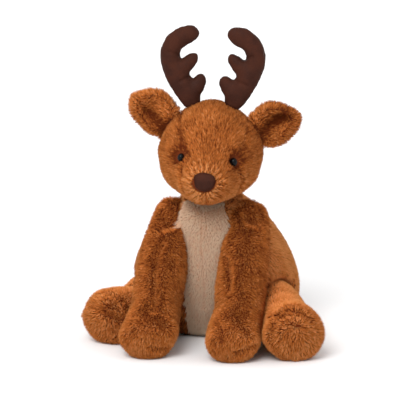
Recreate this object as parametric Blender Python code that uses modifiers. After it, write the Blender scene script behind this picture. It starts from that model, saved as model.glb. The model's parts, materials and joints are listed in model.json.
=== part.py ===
"""A seated plush reindeer, modelled piece by piece as it is sewn and stuffed.

Metres, +Z up. The toy sits on z = 0 and faces -Y, with the origin under the middle of its seat.
Each cover is a sewn shell of plush with its own filling inside. Limbs, ears, antlers, tail and
head end in round roots centred on the seams that they bend about, and the larger piece is cut
round each root with the same clearance.
"""

import math

import bmesh
import bpy
from mathutils import Matrix, Vector

# Where a size differs from side to side, 1 stands for the toy's own left and -1 for its right

# Cloth, seams and the space left between neighbours
COVER_WALL = 0.0035
SUEDETTE_WALL = 0.0015
CLEARANCE = 0.0003
FILLING_GAP = 0.0007
FLOOR_FLAT = 0.0005
CUT_OVERRUN = 0.02

# Body, a pear that leans forward towards the neck
BODY_HEIGHT = 0.153
BODY_WIDTH = 0.168
BODY_DEPTH = 0.140
BODY_LEAN = 0.026
BODY_SIDES = 10
# Height, half width, half depth and lean of each ring, as shares of the sizes above
BODY_RING_SHARES = (
    (0.000, 0.42, 0.44, -0.30),
    (0.004, 0.77, 0.79, -0.20),
    (0.110, 1.01, 1.02, -0.08),
    (0.300, 1.06, 1.06, -0.04),
    (0.500, 0.97, 0.97, 0.10),
    (0.690, 0.79, 0.80, 0.38),
    (0.850, 0.57, 0.62, 0.70),
    (0.960, 0.34, 0.39, 0.92),
)

# Cream belly panel: half width at each height, as shares of its own width and of BODY_HEIGHT
BELLY_WIDTH = 0.070
BELLY_REACH = 0.120
BELLY_OUTLINE_SHARES = (
    (0.030, 0.54),
    (0.200, 0.56),
    (0.400, 0.64),
    (0.580, 0.82),
    (0.720, 1.00),
    (0.840, 0.92),
    (0.930, 0.66),
)

# Pellet pouch in the seat
POUCH_WIDTH = 0.062
POUCH_DEPTH = 0.070
POUCH_HEIGHT = 0.040
POUCH_BACK = 0.014
POUCH_SAG = 0.006

# Neck filling, the ball that the head turns and nods on
NECK_RADIUS = 0.019
NECK_FORWARD = 0.027
NECK_HEIGHT = 0.150
# The dish under the chin leaves room for the head at its lowest nod, turned to either side
LOWEST_NOD = math.radians(12)
CHIN_DISH_WIDTH = 0.144
CHIN_DISH_DEPTH = 0.112

# Head, with the muzzle drawn out of its lower front
HEAD_RADIUS = 0.051
HEAD_SIDEWAYS = 0.0025
HEAD_FORWARD = 0.046
HEAD_HEIGHT = 0.1965
HEAD_YAW = math.radians(5)
HEAD_ROLL = math.radians(4)
HEAD_SIDES = 8
MUZZLE_REACH = 0.069
MUZZLE_DROP = 0.0205
MUZZLE_RADIUS = 0.027
# Distance back, half width and half height of each ring of the skull, as shares of HEAD_RADIUS
SKULL_RING_SHARES = (
    (0.88, 0.55, 0.55),
    (0.46, 0.95, 0.95),
    (-0.06, 1.06, 1.06),
    (-0.52, 0.93, 0.91),
)
# Reach, drop, half width and half height of each ring of the muzzle, as shares of its sizes
MUZZLE_RING_SHARES = (
    (0.650, 0.60, 1.24, 1.20),
    (0.840, 0.94, 1.00, 0.88),
    (0.970, 1.00, 0.68, 0.60),
)

# Nose of stuffed suedette
NOSE_WIDTH = 0.0270
NOSE_HEIGHT = 0.0220
NOSE_DEPTH = 0.014
NOSE_DROP = 0.0180
NOSE_REACH = 0.0645
NOSE_FLARE = 0.20

# Bead eyes on shanks, held by washers behind the cover
EYE_RADIUS = 0.0047
EYE_SPREAD = 0.0270
EYE_RISE = 0.0010
EYE_REACH = 0.0445
EYE_SINK = 0.0012
SHANK_RADIUS = 0.0016
SHANK_LENGTH = 0.0115
WASHER_RADIUS = 0.0060
WASHER_THICKNESS = 0.0014

# Ears: two leaf-shaped layers that cup forward from a sewn root
EAR_LENGTH = 0.040
EAR_WIDTH = 0.036
EAR_THICKNESS = 0.009
EAR_SEAM = 0.037
EAR_CUP = 0.0105
EAR_RISE = math.radians(29)
EAR_DROOP_LEFT = math.radians(6)
EAR_DROOP_RIGHT = math.radians(1)
EAR_DROOPS = {1: EAR_DROOP_LEFT, -1: EAR_DROOP_RIGHT}
EAR_SEAT = 0.0015
EAR_BACK_SET = 0.004
# Half width and cup depth at each distance from the root, as shares of the sizes above
EAR_RING_SHARES = (
    (0.05, 0.94, 0.06),
    (0.35, 1.14, 0.78),
    (0.70, 1.00, 0.96),
    (0.93, 0.58, 0.46),
)
EAR_ACROSS_SHARES = (-1.0, -0.55, 0.0, 0.55, 1.0)

# Antlers: a beam and two tines of stuffed suedette, flattened front to back
ANTLER_HEIGHT = 0.0730
ANTLER_REACH = 0.0240
ANTLER_GIRTH = 0.0098
ANTLER_FLATNESS = 0.76
ANTLER_HOLE_RADIUS = 0.0033
ANTLER_HOLE_DEPTH = 0.020
ANTLER_SPREAD = 0.021
ANTLER_SIDEWAYS = -0.0022
ANTLER_BACK_SET = 0.004
ANTLER_SEAT = 0.0045
ANTLER_LEAN = math.radians(-3.5)
ANTLER_SIDES = 6
TINE_FORWARD = 0.0004
END_ROUNDING = math.radians(50)
# Outward reach, height and radius along each branch, as shares of the sizes above
BEAM_SHARES = (
    (0.00, 0.000, 0.96),
    (0.34, 0.190, 1.10),
    (0.66, 0.365, 1.12),
    (0.91, 0.535, 1.00),
    (1.00, 0.705, 0.98),
    (0.80, 0.860, 0.95),
    (0.42, 0.965, 0.88),
    (0.00, 1.000, 0.78),
)
MIDDLE_TINE_SHARES = (
    (0.78, 0.36, 0.60),
    (0.55, 0.44, 0.82),
    (0.22, 0.55, 0.74),
    (-0.02, 0.632, 0.62),
)
LOWER_TINE_SHARES = (
    (0.26, 0.09, 0.50),
    (0.06, 0.14, 0.76),
    (-0.20, 0.215, 0.76),
    (-0.38, 0.318, 0.64),
)

# Front legs, from the shoulder down to the paw on the floor
SHOULDER_SPREAD = 0.041
SHOULDER_FORWARD = 0.030
SHOULDER_HEIGHT = 0.123
SHOULDER_RADIUS = 0.021
ARM_RADIUS = 0.025
ARM_REACH = 0.128
PAW_SPREAD_LEFT = 0.041
PAW_SPREAD_RIGHT = 0.047
PAW_SPREADS = {1: PAW_SPREAD_LEFT, -1: PAW_SPREAD_RIGHT}
ARM_SIDES = 6
# Forward reach, height, half width, half height and pitch in degrees of each ring
ARM_RING_SHARES = (
    (0.000, 1.000, 0.860, 0.860, 46),
    (0.185, 0.820, 0.950, 0.930, 45),
    (0.400, 0.585, 1.030, 0.990, 45),
    (0.600, 0.375, 1.010, 1.010, 38),
    (0.785, 0.172, 1.130, 1.080, 12),
    (0.940, 0.150, 1.000, 0.880, 0),
)
PAW_TIP_SHARES = (1.030, 0.150)
SHOULDER_HOLE_RADIUS = 0.010

# Hind legs, from the hip out to the upright sole
HIP_SPREAD = 0.060
HIP_FORWARD_LEFT = 0.024
HIP_FORWARD_RIGHT = 0.002
HIP_FORWARDS = {1: HIP_FORWARD_LEFT, -1: HIP_FORWARD_RIGHT}
HIP_HEIGHT = 0.034
HIP_RADIUS = 0.031
LEG_RADIUS = 0.0283
LEG_LENGTH_LEFT = 0.119
LEG_LENGTH_RIGHT = 0.104
LEG_LENGTHS = {1: LEG_LENGTH_LEFT, -1: LEG_LENGTH_RIGHT}
LEG_SPLAY_LEFT = math.radians(23.5)
LEG_SPLAY_RIGHT = math.radians(22)
LEG_SPLAYS = {1: LEG_SPLAY_LEFT, -1: LEG_SPLAY_RIGHT}
LEG_SIDES = 6
# Distance, height, half width and half height of each ring, as shares of the sizes above
LEG_RING_SHARES = (
    (0.000, 0.94, 1.09, 1.03),
    (0.260, 0.83, 1.08, 1.01),
    (0.500, 0.78, 1.00, 0.96),
    (0.720, 0.78, 0.98, 0.97),
    (0.860, 0.80, 1.03, 1.03),
    (1.000, 0.80, 1.03, 1.03),
)
HIP_HOLE_RADIUS = 0.013
SOLE_THICKNESS = 0.0065
SOLE_CROWN = 0.004
SOLE_SIDES = 12

# Tail, a short drop sewn low on the back
TAIL_LENGTH = 0.040
TAIL_RADIUS = 0.0125
TAIL_ROOT_RADIUS = 0.0070
TAIL_HEIGHT = 0.056
TAIL_SEAT = 0.0735
TAIL_RISE = math.radians(38)
TAIL_SIDES = 6
TAIL_RING_SHARES = ((0.00, 0.50), (0.32, 1.00), (0.60, 1.06), (0.85, 0.74))

# How much of a cage's corner is left once the cage is rounded, next to its two neighbours
CORNER_KEPT_SHARE = 0.75

BALL_SEGMENTS = 16
BALL_RINGS = 8
NECK_SEGMENTS = 24
NECK_RINGS = 12
BEAD_SEGMENTS = 12
BEAD_RINGS = 6
HOLE_SIDES = 12

PLUSH_RUST = (0.29, 0.075, 0.016, 1.0)
PLUSH_CARAMEL = (0.38, 0.12, 0.035, 1.0)
PLUSH_CREAM = (0.54, 0.32, 0.20, 1.0)
SUEDETTE_BROWN = (0.075, 0.025, 0.015, 1.0)
BEAD_BLACK = (0.008, 0.007, 0.006, 1.0)
WASHER_WHITE = (0.75, 0.75, 0.72, 1.0)
FILLING_WHITE = (0.80, 0.79, 0.76, 1.0)
POUCH_LINEN = (0.62, 0.58, 0.50, 1.0)

UP = Vector((0, 0, 1))
SIDE = Vector((1, 0, 0))
BACK = Vector((0, 1, 0))
SIDES = {"left": 1, "right": -1}
QUARTER_TURN = math.radians(90)


def clear_scene():
    for thing in list(bpy.data.objects):
        bpy.data.objects.remove(thing)


def new_collection(name):
    made = bpy.data.collections.new(name)
    bpy.context.scene.collection.children.link(made)
    return made


def new_material(name, colour, roughness, metallic=0.0):
    material = bpy.data.materials.new(name)
    material.use_nodes = True
    shader = material.node_tree.nodes["Principled BSDF"]
    shader.inputs["Base Color"].default_value = colour
    shader.inputs["Roughness"].default_value = roughness
    shader.inputs["Metallic"].default_value = metallic
    material.diffuse_color = colour
    return material


def add_mesh(name, made, place, is_sheet=False):
    """An object from a bmesh whose faces agree, turned outwards if they all face in."""
    if not is_sheet and made.calc_volume(signed=True) < 0:
        bmesh.ops.reverse_faces(made, faces=made.faces)
    mesh = bpy.data.meshes.new(name)
    made.to_mesh(mesh)
    made.free()
    mesh.shade_smooth()
    thing = bpy.data.objects.new(name, mesh)
    place.objects.link(thing)
    return thing


def as_cutter(thing):
    thing.hide_render = True
    thing.display_type = "WIRE"
    return thing


def add_empty(name, place, matrix):
    thing = bpy.data.objects.new(name, None)
    place.objects.link(thing)
    thing.matrix_world = matrix
    return thing


def loft(name, rings, tips, sides, place, to_be_rounded=True):
    """A cage of rings, each a centre with two half-axis vectors. A tip of None leaves that end open.

    A cage that is rounded afterwards shrinks, so it starts larger by what its rings lose.
    """
    made = bmesh.new()
    kept = CORNER_KEPT_SHARE + (1 - CORNER_KEPT_SHARE) * math.cos(math.tau / sides)
    grow = 1 / kept if to_be_rounded else 1
    loops = []
    for centre, across, over in rings:
        loop = []
        for step in range(sides):
            angle = math.tau * step / sides
            outward = across * math.cos(angle) + over * math.sin(angle)
            loop.append(made.verts.new(centre + outward * grow))
        loops.append(loop)
    for low, high in zip(loops, loops[1:]):
        for step in range(sides):
            after = (step + 1) % sides
            corners = (low[step], low[after], high[after], high[step])
            if to_be_rounded:
                made.faces.new(corners)
            else:
                made.faces.new(corners[:3])
                made.faces.new((corners[0], *corners[2:]))
    for loop, tip in zip((loops[0][::-1], loops[-1]), tips):
        if tip is None:
            continue
        pole = made.verts.new(tip)
        for step in range(sides):
            made.faces.new((loop[step], loop[(step + 1) % sides], pole))
    return add_mesh(name, made, place)


def smooth_form(thing, levels=1):
    rounding = thing.modifiers.new("rounding", "SUBSURF")
    rounding.levels = levels
    rounding.render_levels = levels
    return thing


def swell(thing, distance):
    """Moves the surface out along its normals, or in where the distance is negative."""
    offset = thing.modifiers.new("offset", "DISPLACE")
    offset.mid_level = 0.0
    offset.strength = distance
    return thing


def hollow(thing, wall, to_side=-1.0):
    lining = thing.modifiers.new("cloth", "SOLIDIFY")
    lining.thickness = wall
    lining.offset = to_side
    lining.use_rim = True
    return thing


def join_by(thing, other, operation):
    change = thing.modifiers.new(operation.lower(), "BOOLEAN")
    change.operation = operation
    change.object = other
    change.solver = "EXACT"
    return thing


def cut(thing, *cutters):
    for cutter in cutters:
        join_by(thing, cutter, "DIFFERENCE")
    return thing


def ball(name, centre, radii, place, segments=BALL_SEGMENTS, rings=BALL_RINGS):
    """An ellipsoid whose pole lies along its own X, the axis that a root turns about."""
    made = bmesh.new()
    bmesh.ops.create_uvsphere(made, u_segments=segments, v_segments=rings, radius=1.0)
    turn = Matrix.Rotation(QUARTER_TURN, 4, "Y")
    stretch = Matrix.Diagonal((*radii, 1.0))
    made.transform(Matrix.Translation(centre) @ stretch @ turn)
    return add_mesh(name, made, place)


def room_radius(radius, segments=BALL_SEGMENTS, rings=BALL_RINGS):
    """The radius of a room whose flat facets all stay a clearance away from a turning root."""
    return radius / (math.cos(math.pi / segments) * math.cos(math.pi / rings / 2)) + CLEARANCE


def rod(name, start, end, radius, place, sides=HOLE_SIDES):
    made = bmesh.new()
    along = end - start
    bmesh.ops.create_cone(
        made, cap_ends=True, segments=sides, radius1=radius, radius2=radius, depth=along.length
    )
    turn = along.to_track_quat("Z", "Y").to_matrix().to_4x4()
    made.transform(Matrix.Translation((start + end) / 2) @ turn)
    return add_mesh(name, made, place)


def slab_below(name, top, place):
    """A block whose upper face lies at the given height and that is wider than the toy."""
    made = bmesh.new()
    bmesh.ops.create_cube(made, size=1.0)
    width = (HIP_SPREAD + LEG_LENGTH_LEFT + LEG_RADIUS) * 2
    made.transform(Matrix.Translation((0, 0, top - CUT_OVERRUN / 2)))
    stretch = Matrix.Diagonal((width, width * 2, CUT_OVERRUN, 1.0))
    centre = Matrix.Translation((0, 0, top - CUT_OVERRUN / 2))
    made.transform(centre @ stretch @ centre.inverted())
    return add_mesh(name, made, place)


def pear_rings():
    rings = []
    for height, width, depth, lean in BODY_RING_SHARES:
        centre = Vector((0, -lean * BODY_LEAN, height * BODY_HEIGHT - FLOOR_FLAT))
        rings.append((centre, SIDE * width * BODY_WIDTH / 2, BACK * depth * BODY_DEPTH / 2))
    return rings


def body_form(name, place, grow=0.0):
    """The pear, 0.5 mm below the floor before it is cut flat, swollen by the distance given."""
    foot = Vector((0, 0, -FLOOR_FLAT))
    crown = Vector((0, -BODY_LEAN, BODY_HEIGHT))
    thing = smooth_form(loft(name, pear_rings(), (foot, crown), BODY_SIDES, place))
    return swell(thing, grow) if grow else thing


def head_form(name, place, grow=0.0):
    rings = []
    for back, width, height in SKULL_RING_SHARES:
        centre = BACK * back * HEAD_RADIUS
        rings.append((centre, SIDE * width * HEAD_RADIUS, UP * height * HEAD_RADIUS))
    for reach, drop, width, height in MUZZLE_RING_SHARES:
        centre = -BACK * reach * MUZZLE_REACH - UP * drop * MUZZLE_DROP
        rings.append((centre, SIDE * width * MUZZLE_RADIUS, UP * height * MUZZLE_RADIUS))
    nape = BACK * HEAD_RADIUS
    lip = -BACK * MUZZLE_REACH - UP * MUZZLE_DROP
    thing = smooth_form(loft(name, rings, (nape, lip), HEAD_SIDES, place))
    return swell(thing, grow) if grow else thing


def shoulder_point(side):
    return Vector((side * SHOULDER_SPREAD, -SHOULDER_FORWARD, SHOULDER_HEIGHT))


def arm_middle(spread, reach, height):
    """A point on a front leg's middle line, at shares of its reach and of the shoulder's height."""
    sideways = SHOULDER_SPREAD + (spread - SHOULDER_SPREAD) * reach
    return Vector((sideways, -SHOULDER_FORWARD - reach * ARM_REACH, height * SHOULDER_HEIGHT))


def arm_form(name, spread, place):
    """A front leg on the left, from a round root at the shoulder to a paw at the given spread."""
    rings = []
    for reach, height, width, thick, pitch in ARM_RING_SHARES:
        slope = math.radians(pitch)
        centre = arm_middle(spread, reach, height)
        over = UP * math.cos(slope) - BACK * math.sin(slope)
        rings.append((centre, SIDE * width * ARM_RADIUS, over * thick * ARM_RADIUS))
    slope = math.radians(ARM_RING_SHARES[0][-1])
    along = -BACK * math.cos(slope) - UP * math.sin(slope)
    top = rings[0][0] - along * SHOULDER_RADIUS
    tip = arm_middle(spread, *PAW_TIP_SHARES)
    collar = rings[0][0] - along * SHOULDER_RADIUS * math.sin(END_ROUNDING)
    narrow = math.cos(END_ROUNDING)
    rings.insert(0, (collar, rings[0][1] * narrow, rings[0][2] * narrow))
    return smooth_form(loft(name, rings, (top, tip), ARM_SIDES, place))


def hip_point(side):
    return Vector((side * HIP_SPREAD, -HIP_FORWARDS[side], HIP_HEIGHT))


def leg_direction(side):
    splay = LEG_SPLAYS[side]
    return Vector((side * math.sin(splay), -math.cos(splay), 0))


def leg_rings(side):
    along = leg_direction(side)
    across = along.cross(UP)
    hip = hip_point(side)
    rings = []
    for distance, height, width, thick in LEG_RING_SHARES:
        centre = hip + along * distance * LEG_LENGTHS[side]
        centre.z = height * HIP_HEIGHT
        rings.append((centre, across * width * LEG_RADIUS, UP * thick * LEG_RADIUS))
    narrow = math.cos(END_ROUNDING)
    collar = hip - along * HIP_RADIUS * math.sin(END_ROUNDING)
    rings.insert(0, (collar, rings[0][1] * narrow, rings[0][2] * narrow))
    return rings


def leg_form(name, side, place):
    """The leg's tube, open at the foot where the sole closes it."""
    heel = hip_point(side) - leg_direction(side) * HIP_RADIUS
    return smooth_form(loft(name, leg_rings(side), (heel, None), LEG_SIDES, place))


def sole_centre(side):
    return leg_rings(side)[-1][0]


def sole_form(name, side, place):
    """A puffed disc that stands in the end of the leg's tube."""
    along = leg_direction(side)
    across = along.cross(UP)
    inner = sole_centre(side) - along * SOLE_THICKNESS
    outer = sole_centre(side)
    flats = math.cos(math.pi / SOLE_SIDES)
    width, height = (
        share * LEG_RADIUS * flats - COVER_WALL - FILLING_GAP for share in LEG_RING_SHARES[-1][2:]
    )
    rings = [(centre, across * width, UP * height) for centre in (inner, outer)]
    tips = (inner, outer + along * SOLE_CROWN)
    return loft(name, rings, tips, SOLE_SIDES, place, to_be_rounded=False)


def branch(name, shares, thinner, place):
    """One branch of the left antler: an oval tube through the given places, with round ends."""
    middles = []
    for outward, height, girth in shares:
        middle = SIDE * outward * ANTLER_REACH + UP * height * ANTLER_HEIGHT
        middles.append((middle, girth * ANTLER_GIRTH - thinner))
    rings = []
    for index, (middle, radius) in enumerate(middles):
        before = middles[max(index - 1, 0)][0]
        after = middles[min(index + 1, len(middles) - 1)][0]
        across = BACK.cross((after - before).normalized())
        rings.append((middle, across * radius, BACK * radius * ANTLER_FLATNESS))
    tips = []
    for end, beside in ((0, 1), (-1, -2)):
        middle, radius = middles[end]
        way = (middle - middles[beside][0]).normalized()
        reach = radius * ANTLER_FLATNESS
        _, across, over = rings[end]
        narrow = math.cos(END_ROUNDING)
        ring = (middle + way * reach * math.sin(END_ROUNDING), across * narrow, over * narrow)
        tips.append((ring, middle + way * reach))
    rings = [tips[0][0], *rings, tips[1][0]]
    return loft(name, rings, (tips[0][1], tips[1][1]), ANTLER_SIDES, place, to_be_rounded=False)


def antler_form(name, thinner, place, cutters):
    """The left antler in its own frame: a beam with its two tines joined on."""
    beam = branch(name, BEAM_SHARES, thinner, place)
    tines = []
    for label, shares in (("middle", MIDDLE_TINE_SHARES), ("lower", LOWER_TINE_SHARES)):
        tine = as_cutter(branch(name + "_" + label + "_tine", shares, thinner, cutters))
        tine.data.transform(Matrix.Translation(-BACK * TINE_FORWARD))
        join_by(beam, tine, "UNION")
        tines.append(tine)
    return beam, tines


def ear_sheet(name, place):
    """A leaf cupped towards the front, in the ear's own frame: seam along X, length along Z."""
    made = bmesh.new()
    rows = []
    for distance, width, cup in EAR_RING_SHARES:
        row = []
        for share in EAR_ACROSS_SHARES:
            depth = cup * EAR_CUP * (1 - share * share)
            spot = Vector((share * width * EAR_WIDTH / 2, depth, distance * EAR_LENGTH))
            row.append(made.verts.new(spot))
        rows.append(row)
    for low, high in zip(rows, rows[1:]):
        for step in range(len(EAR_ACROSS_SHARES) - 1):
            made.faces.new((low[step + 1], low[step], high[step], high[step + 1]))
    tip = made.verts.new(Vector((0, 0, EAR_LENGTH)))
    for step in range(len(EAR_ACROSS_SHARES) - 1):
        made.faces.new((rows[-1][step + 1], rows[-1][step], tip))
    return smooth_form(add_mesh(name, made, place, is_sheet=True))


def trapezium_nose(name, place):
    """A puffed cushion, wider above than below."""
    made = bmesh.new()
    bmesh.ops.create_uvsphere(made, u_segments=BEAD_SEGMENTS, v_segments=BEAD_RINGS, radius=1.0)
    for vert in made.verts:
        vert.co.x *= 1 + NOSE_FLARE * vert.co.z
    middle = Vector((0, -NOSE_REACH, -NOSE_DROP))
    size = Matrix.Diagonal((NOSE_WIDTH / 2, NOSE_DEPTH / 2, NOSE_HEIGHT / 2, 1.0))
    made.transform(Matrix.Translation(middle) @ size)
    return add_mesh(name, made, place)


def belly_prism(name, trim, place):
    """The belly panel's outline, drawn out forward through the body's front."""
    made = bmesh.new()
    edge = []
    for height, width in BELLY_OUTLINE_SHARES:
        edge.append((width * BELLY_WIDTH / 2 - trim, height * BODY_HEIGHT))
    low, high = edge[0][1] + trim, edge[-1][1] - trim
    edge[0] = (edge[0][0], low)
    edge[-1] = (edge[-1][0], high)
    outline = [(across, height) for across, height in edge]
    outline += [(-across, height) for across, height in reversed(edge)]
    front = [made.verts.new((across, -BELLY_REACH, height)) for across, height in outline]
    face = made.faces.new(front)
    drawn = bmesh.ops.extrude_face_region(made, geom=[face])
    moved = [item for item in drawn["geom"] if isinstance(item, bmesh.types.BMVert)]
    bmesh.ops.translate(made, verts=moved, vec=BACK * (BELLY_REACH - NECK_FORWARD))
    bmesh.ops.recalc_face_normals(made, faces=made.faces)
    bmesh.ops.triangulate(made, faces=[flat for flat in made.faces if len(flat.verts) > 4])
    return add_mesh(name, made, place)


class Toy:
    """Holds the collections, materials and shared cutters while the pieces are made."""

    def __init__(self):
        self.parts = new_collection("plush_reindeer")
        self.cutters = new_collection("cutters")
        self.rust = new_material("rust_plush", PLUSH_RUST, 0.95)
        self.caramel = new_material("caramel_plush", PLUSH_CARAMEL, 0.95)
        self.cream = new_material("cream_plush", PLUSH_CREAM, 0.95)
        self.suedette = new_material("brown_suedette", SUEDETTE_BROWN, 0.8)
        self.bead = new_material("black_bead", BEAD_BLACK, 0.08)
        self.plastic = new_material("white_washer", WASHER_WHITE, 0.5)
        self.filling = new_material("white_filling", FILLING_WHITE, 1.0)
        self.linen = new_material("linen_pouch", POUCH_LINEN, 0.9)
        tilt = Matrix.Rotation(HEAD_YAW, 4, "Z") @ Matrix.Rotation(HEAD_ROLL, 4, "Y")
        middle = Vector((HEAD_SIDEWAYS, -HEAD_FORWARD, HEAD_HEIGHT))
        self.head_frame = add_empty("head_frame", self.parts, Matrix.Translation(middle) @ tilt)
        self.neck = Vector((0, -NECK_FORWARD, NECK_HEIGHT))
        self.floor = as_cutter(slab_below("floor_cut", 0, self.cutters))
        self.inner_floor = as_cutter(slab_below("inner_floor_cut", COVER_WALL + CLEARANCE, self.cutters))
        nod = Matrix.Rotation(LOWEST_NOD, 4, "X")
        nodded = self.neck + nod @ (middle - self.neck)
        self.chin = Vector((0, nodded.y, nodded.z))
        self.chin_dish = as_cutter(self.dish("chin_dish", 0.0))
        inside = body_form("body_inside", self.cutters, -COVER_WALL)
        self.body_inside = as_cutter(cut(inside, as_cutter(self.dish("chin_dish_wall", COVER_WALL))))
        facets = (NECK_SEGMENTS, NECK_RINGS)
        room = (room_radius(NECK_RADIUS, *facets),) * 3
        self.neck_room = as_cutter(ball("neck_room", self.neck, room, self.cutters, *facets))
        self.rooms = self.round_cutters("room", room_radius)
        self.roots = self.round_cutters("root", float)

    def round_cutters(self, label, radius_of):
        """Balls at the shoulders and hips, of the roots' own radii or of the room that they need."""
        made = []
        for side_name, side in SIDES.items():
            shoulder = (radius_of(SHOULDER_RADIUS),) * 3
            hip = (radius_of(HIP_RADIUS),) * 3
            name = "_" + label + "_" + side_name
            made.append(ball("shoulder" + name, shoulder_point(side), shoulder, self.cutters))
            made.append(ball("hip" + name, hip_point(side), hip, self.cutters))
        for cutter in made:
            as_cutter(cutter)
        return made

    def dish(self, name, grow):
        radii = (CHIN_DISH_WIDTH / 2 + grow, CHIN_DISH_DEPTH / 2 + grow, CHIN_DISH_DEPTH / 2 + grow)
        return ball(name, self.chin, radii, self.cutters)

    def body_shell(self, name):
        """The body's cloth, dished under the chin, before it is parted into cover and panel."""
        return cut(body_form(name, self.parts), self.chin_dish, self.body_inside)

    def finish(self, thing, material):
        thing.data.materials.append(material)
        return thing


def make_neck(toy):
    radii = (NECK_RADIUS,) * 3
    neck = ball("neck_filling", toy.neck, radii, toy.parts, NECK_SEGMENTS, NECK_RINGS)
    toy.finish(neck, toy.filling)


def make_body(toy):
    sockets = (toy.neck_room, *toy.rooms)
    tail_room = as_cutter(ball("tail_room", tail_root(), (room_radius(TAIL_ROOT_RADIUS),) * 3, toy.cutters))
    cover = toy.body_shell("body_cover")
    outside = as_cutter(belly_prism("belly_opening", 0.0, toy.cutters))
    cut(cover, toy.floor, *sockets, tail_room, outside)
    toy.finish(cover, toy.rust)
    panel = toy.body_shell("belly_panel")
    inside = as_cutter(belly_prism("belly_outline", CLEARANCE, toy.cutters))
    join_by(panel, inside, "INTERSECT")
    cut(panel, *sockets)
    toy.finish(panel, toy.cream)
    stuffing = body_form("body_filling", toy.parts, -COVER_WALL - FILLING_GAP)
    chin = as_cutter(toy.dish("chin_dish_filling", COVER_WALL + FILLING_GAP))
    middle = Vector((0, POUCH_BACK, COVER_WALL + POUCH_HEIGHT / 2 - POUCH_SAG))
    radii = Vector((POUCH_WIDTH, POUCH_DEPTH, POUCH_HEIGHT)) / 2
    room = radii + Vector((CLEARANCE,) * 3)
    pouch_room = as_cutter(ball("pouch_room", middle, room, toy.cutters, BEAD_SEGMENTS, BEAD_RINGS))
    cut(stuffing, chin, toy.inner_floor, *sockets, pouch_room)
    toy.finish(stuffing, toy.filling)
    pouch = ball("pellet_pouch", middle, radii, toy.parts, BEAD_SEGMENTS, BEAD_RINGS)
    cut(pouch, toy.inner_floor)
    toy.finish(pouch, toy.linen)


def body_with_sockets(toy, name):
    """The whole body with room round it, which trims whatever is sewn against it."""
    block = as_cutter(body_form(name, toy.cutters, CLEARANCE))
    return cut(block, *toy.roots)


def mirrored(thing, name, place):
    """The same solid with its own left and right exchanged."""
    graph = bpy.context.evaluated_depsgraph_get()
    mesh = bpy.data.meshes.new_from_object(thing.evaluated_get(graph))
    mesh.name = name
    mesh.transform(Matrix.Diagonal((-1, 1, 1, 1)))
    mesh.flip_normals()
    other = bpy.data.objects.new(name, mesh)
    place.objects.link(other)
    return other


def hinge_on(point, name, place, *things):
    """Parents the things to an empty on their hinge, leaving them where they are."""
    hinge = Matrix.Translation(point)
    pivot = add_empty(name, place, hinge)
    for thing in things:
        thing.parent = pivot
        thing.matrix_parent_inverse = hinge.inverted()


def make_arm(toy, label, side, body_block):
    """A front leg made on the left, and exchanged left for right where it belongs on the right."""
    place = toy.parts if side > 0 else toy.cutters
    note = "" if side > 0 else "_made_on_left"
    shoulder = shoulder_point(1)
    inward = shoulder - SIDE * (SHOULDER_RADIUS + CUT_OVERRUN)
    doorway = rod("shoulder_doorway_" + label, shoulder, inward, SHOULDER_HOLE_RADIUS, toy.cutters)
    names = ("front_leg_cover_" + label, "front_leg_filling_" + label)
    cover, stuffing = (arm_form(name + note, PAW_SPREADS[side], place) for name in names)
    cut(hollow(cover, COVER_WALL), body_block, toy.floor, as_cutter(doorway))
    cut(swell(stuffing, -COVER_WALL - FILLING_GAP), body_block, toy.inner_floor)
    toy.finish(cover, toy.rust)
    toy.finish(stuffing, toy.filling)
    if side < 0:
        made = (as_cutter(cover), as_cutter(stuffing))
        cover, stuffing = (mirrored(thing, name, toy.parts) for thing, name in zip(made, names))
    hinge_on(shoulder_point(side), "shoulder_" + label, toy.parts, cover, stuffing)


def make_leg(toy, label, side, body_block):
    hip = hip_point(side)
    inward = hip - SIDE * side * (HIP_RADIUS + CUT_OVERRUN)
    doorway = as_cutter(rod("hip_doorway_" + label, hip, inward, HIP_HOLE_RADIUS, toy.cutters))
    cover = hollow(leg_form("hind_leg_cover_" + label, side, toy.parts), COVER_WALL)
    cut(cover, body_block, toy.floor, doorway)
    along = leg_direction(side)
    sole = sole_form("foot_sole_" + label, side, toy.parts)
    back_stop = sole_centre(side) - along * (SOLE_THICKNESS + CLEARANCE)
    end = as_cutter(
        rod("leg_end_" + label, back_stop, back_stop + along * CUT_OVERRUN, LEG_RADIUS * 2, toy.cutters)
    )
    stuffing = leg_form("hind_leg_filling_" + label, side, toy.parts)
    close_end(stuffing, side)
    swell(stuffing, -COVER_WALL - FILLING_GAP)
    cut(stuffing, body_block, toy.inner_floor, end)
    for thing, material in ((cover, toy.rust), (stuffing, toy.filling), (sole, toy.caramel)):
        toy.finish(thing, material)
    hinge_on(hip, "hip_" + label, toy.parts, cover, stuffing, sole)


def close_end(stuffing, side):
    """Closes a leg filling's open end with a fan to a point past the last ring."""
    made = bmesh.new()
    made.from_mesh(stuffing.data)
    rim = [edge for edge in made.edges if edge.is_boundary]
    pole = made.verts.new(sole_centre(side) + leg_direction(side) * SOLE_THICKNESS)
    for edge in rim:
        made.faces.new((edge.verts[0], edge.verts[1], pole))
    bmesh.ops.recalc_face_normals(made, faces=made.faces)
    made.to_mesh(stuffing.data)
    made.free()
    stuffing.data.shade_smooth()


def tail_root():
    return Vector((0, TAIL_SEAT, TAIL_HEIGHT))


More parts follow.
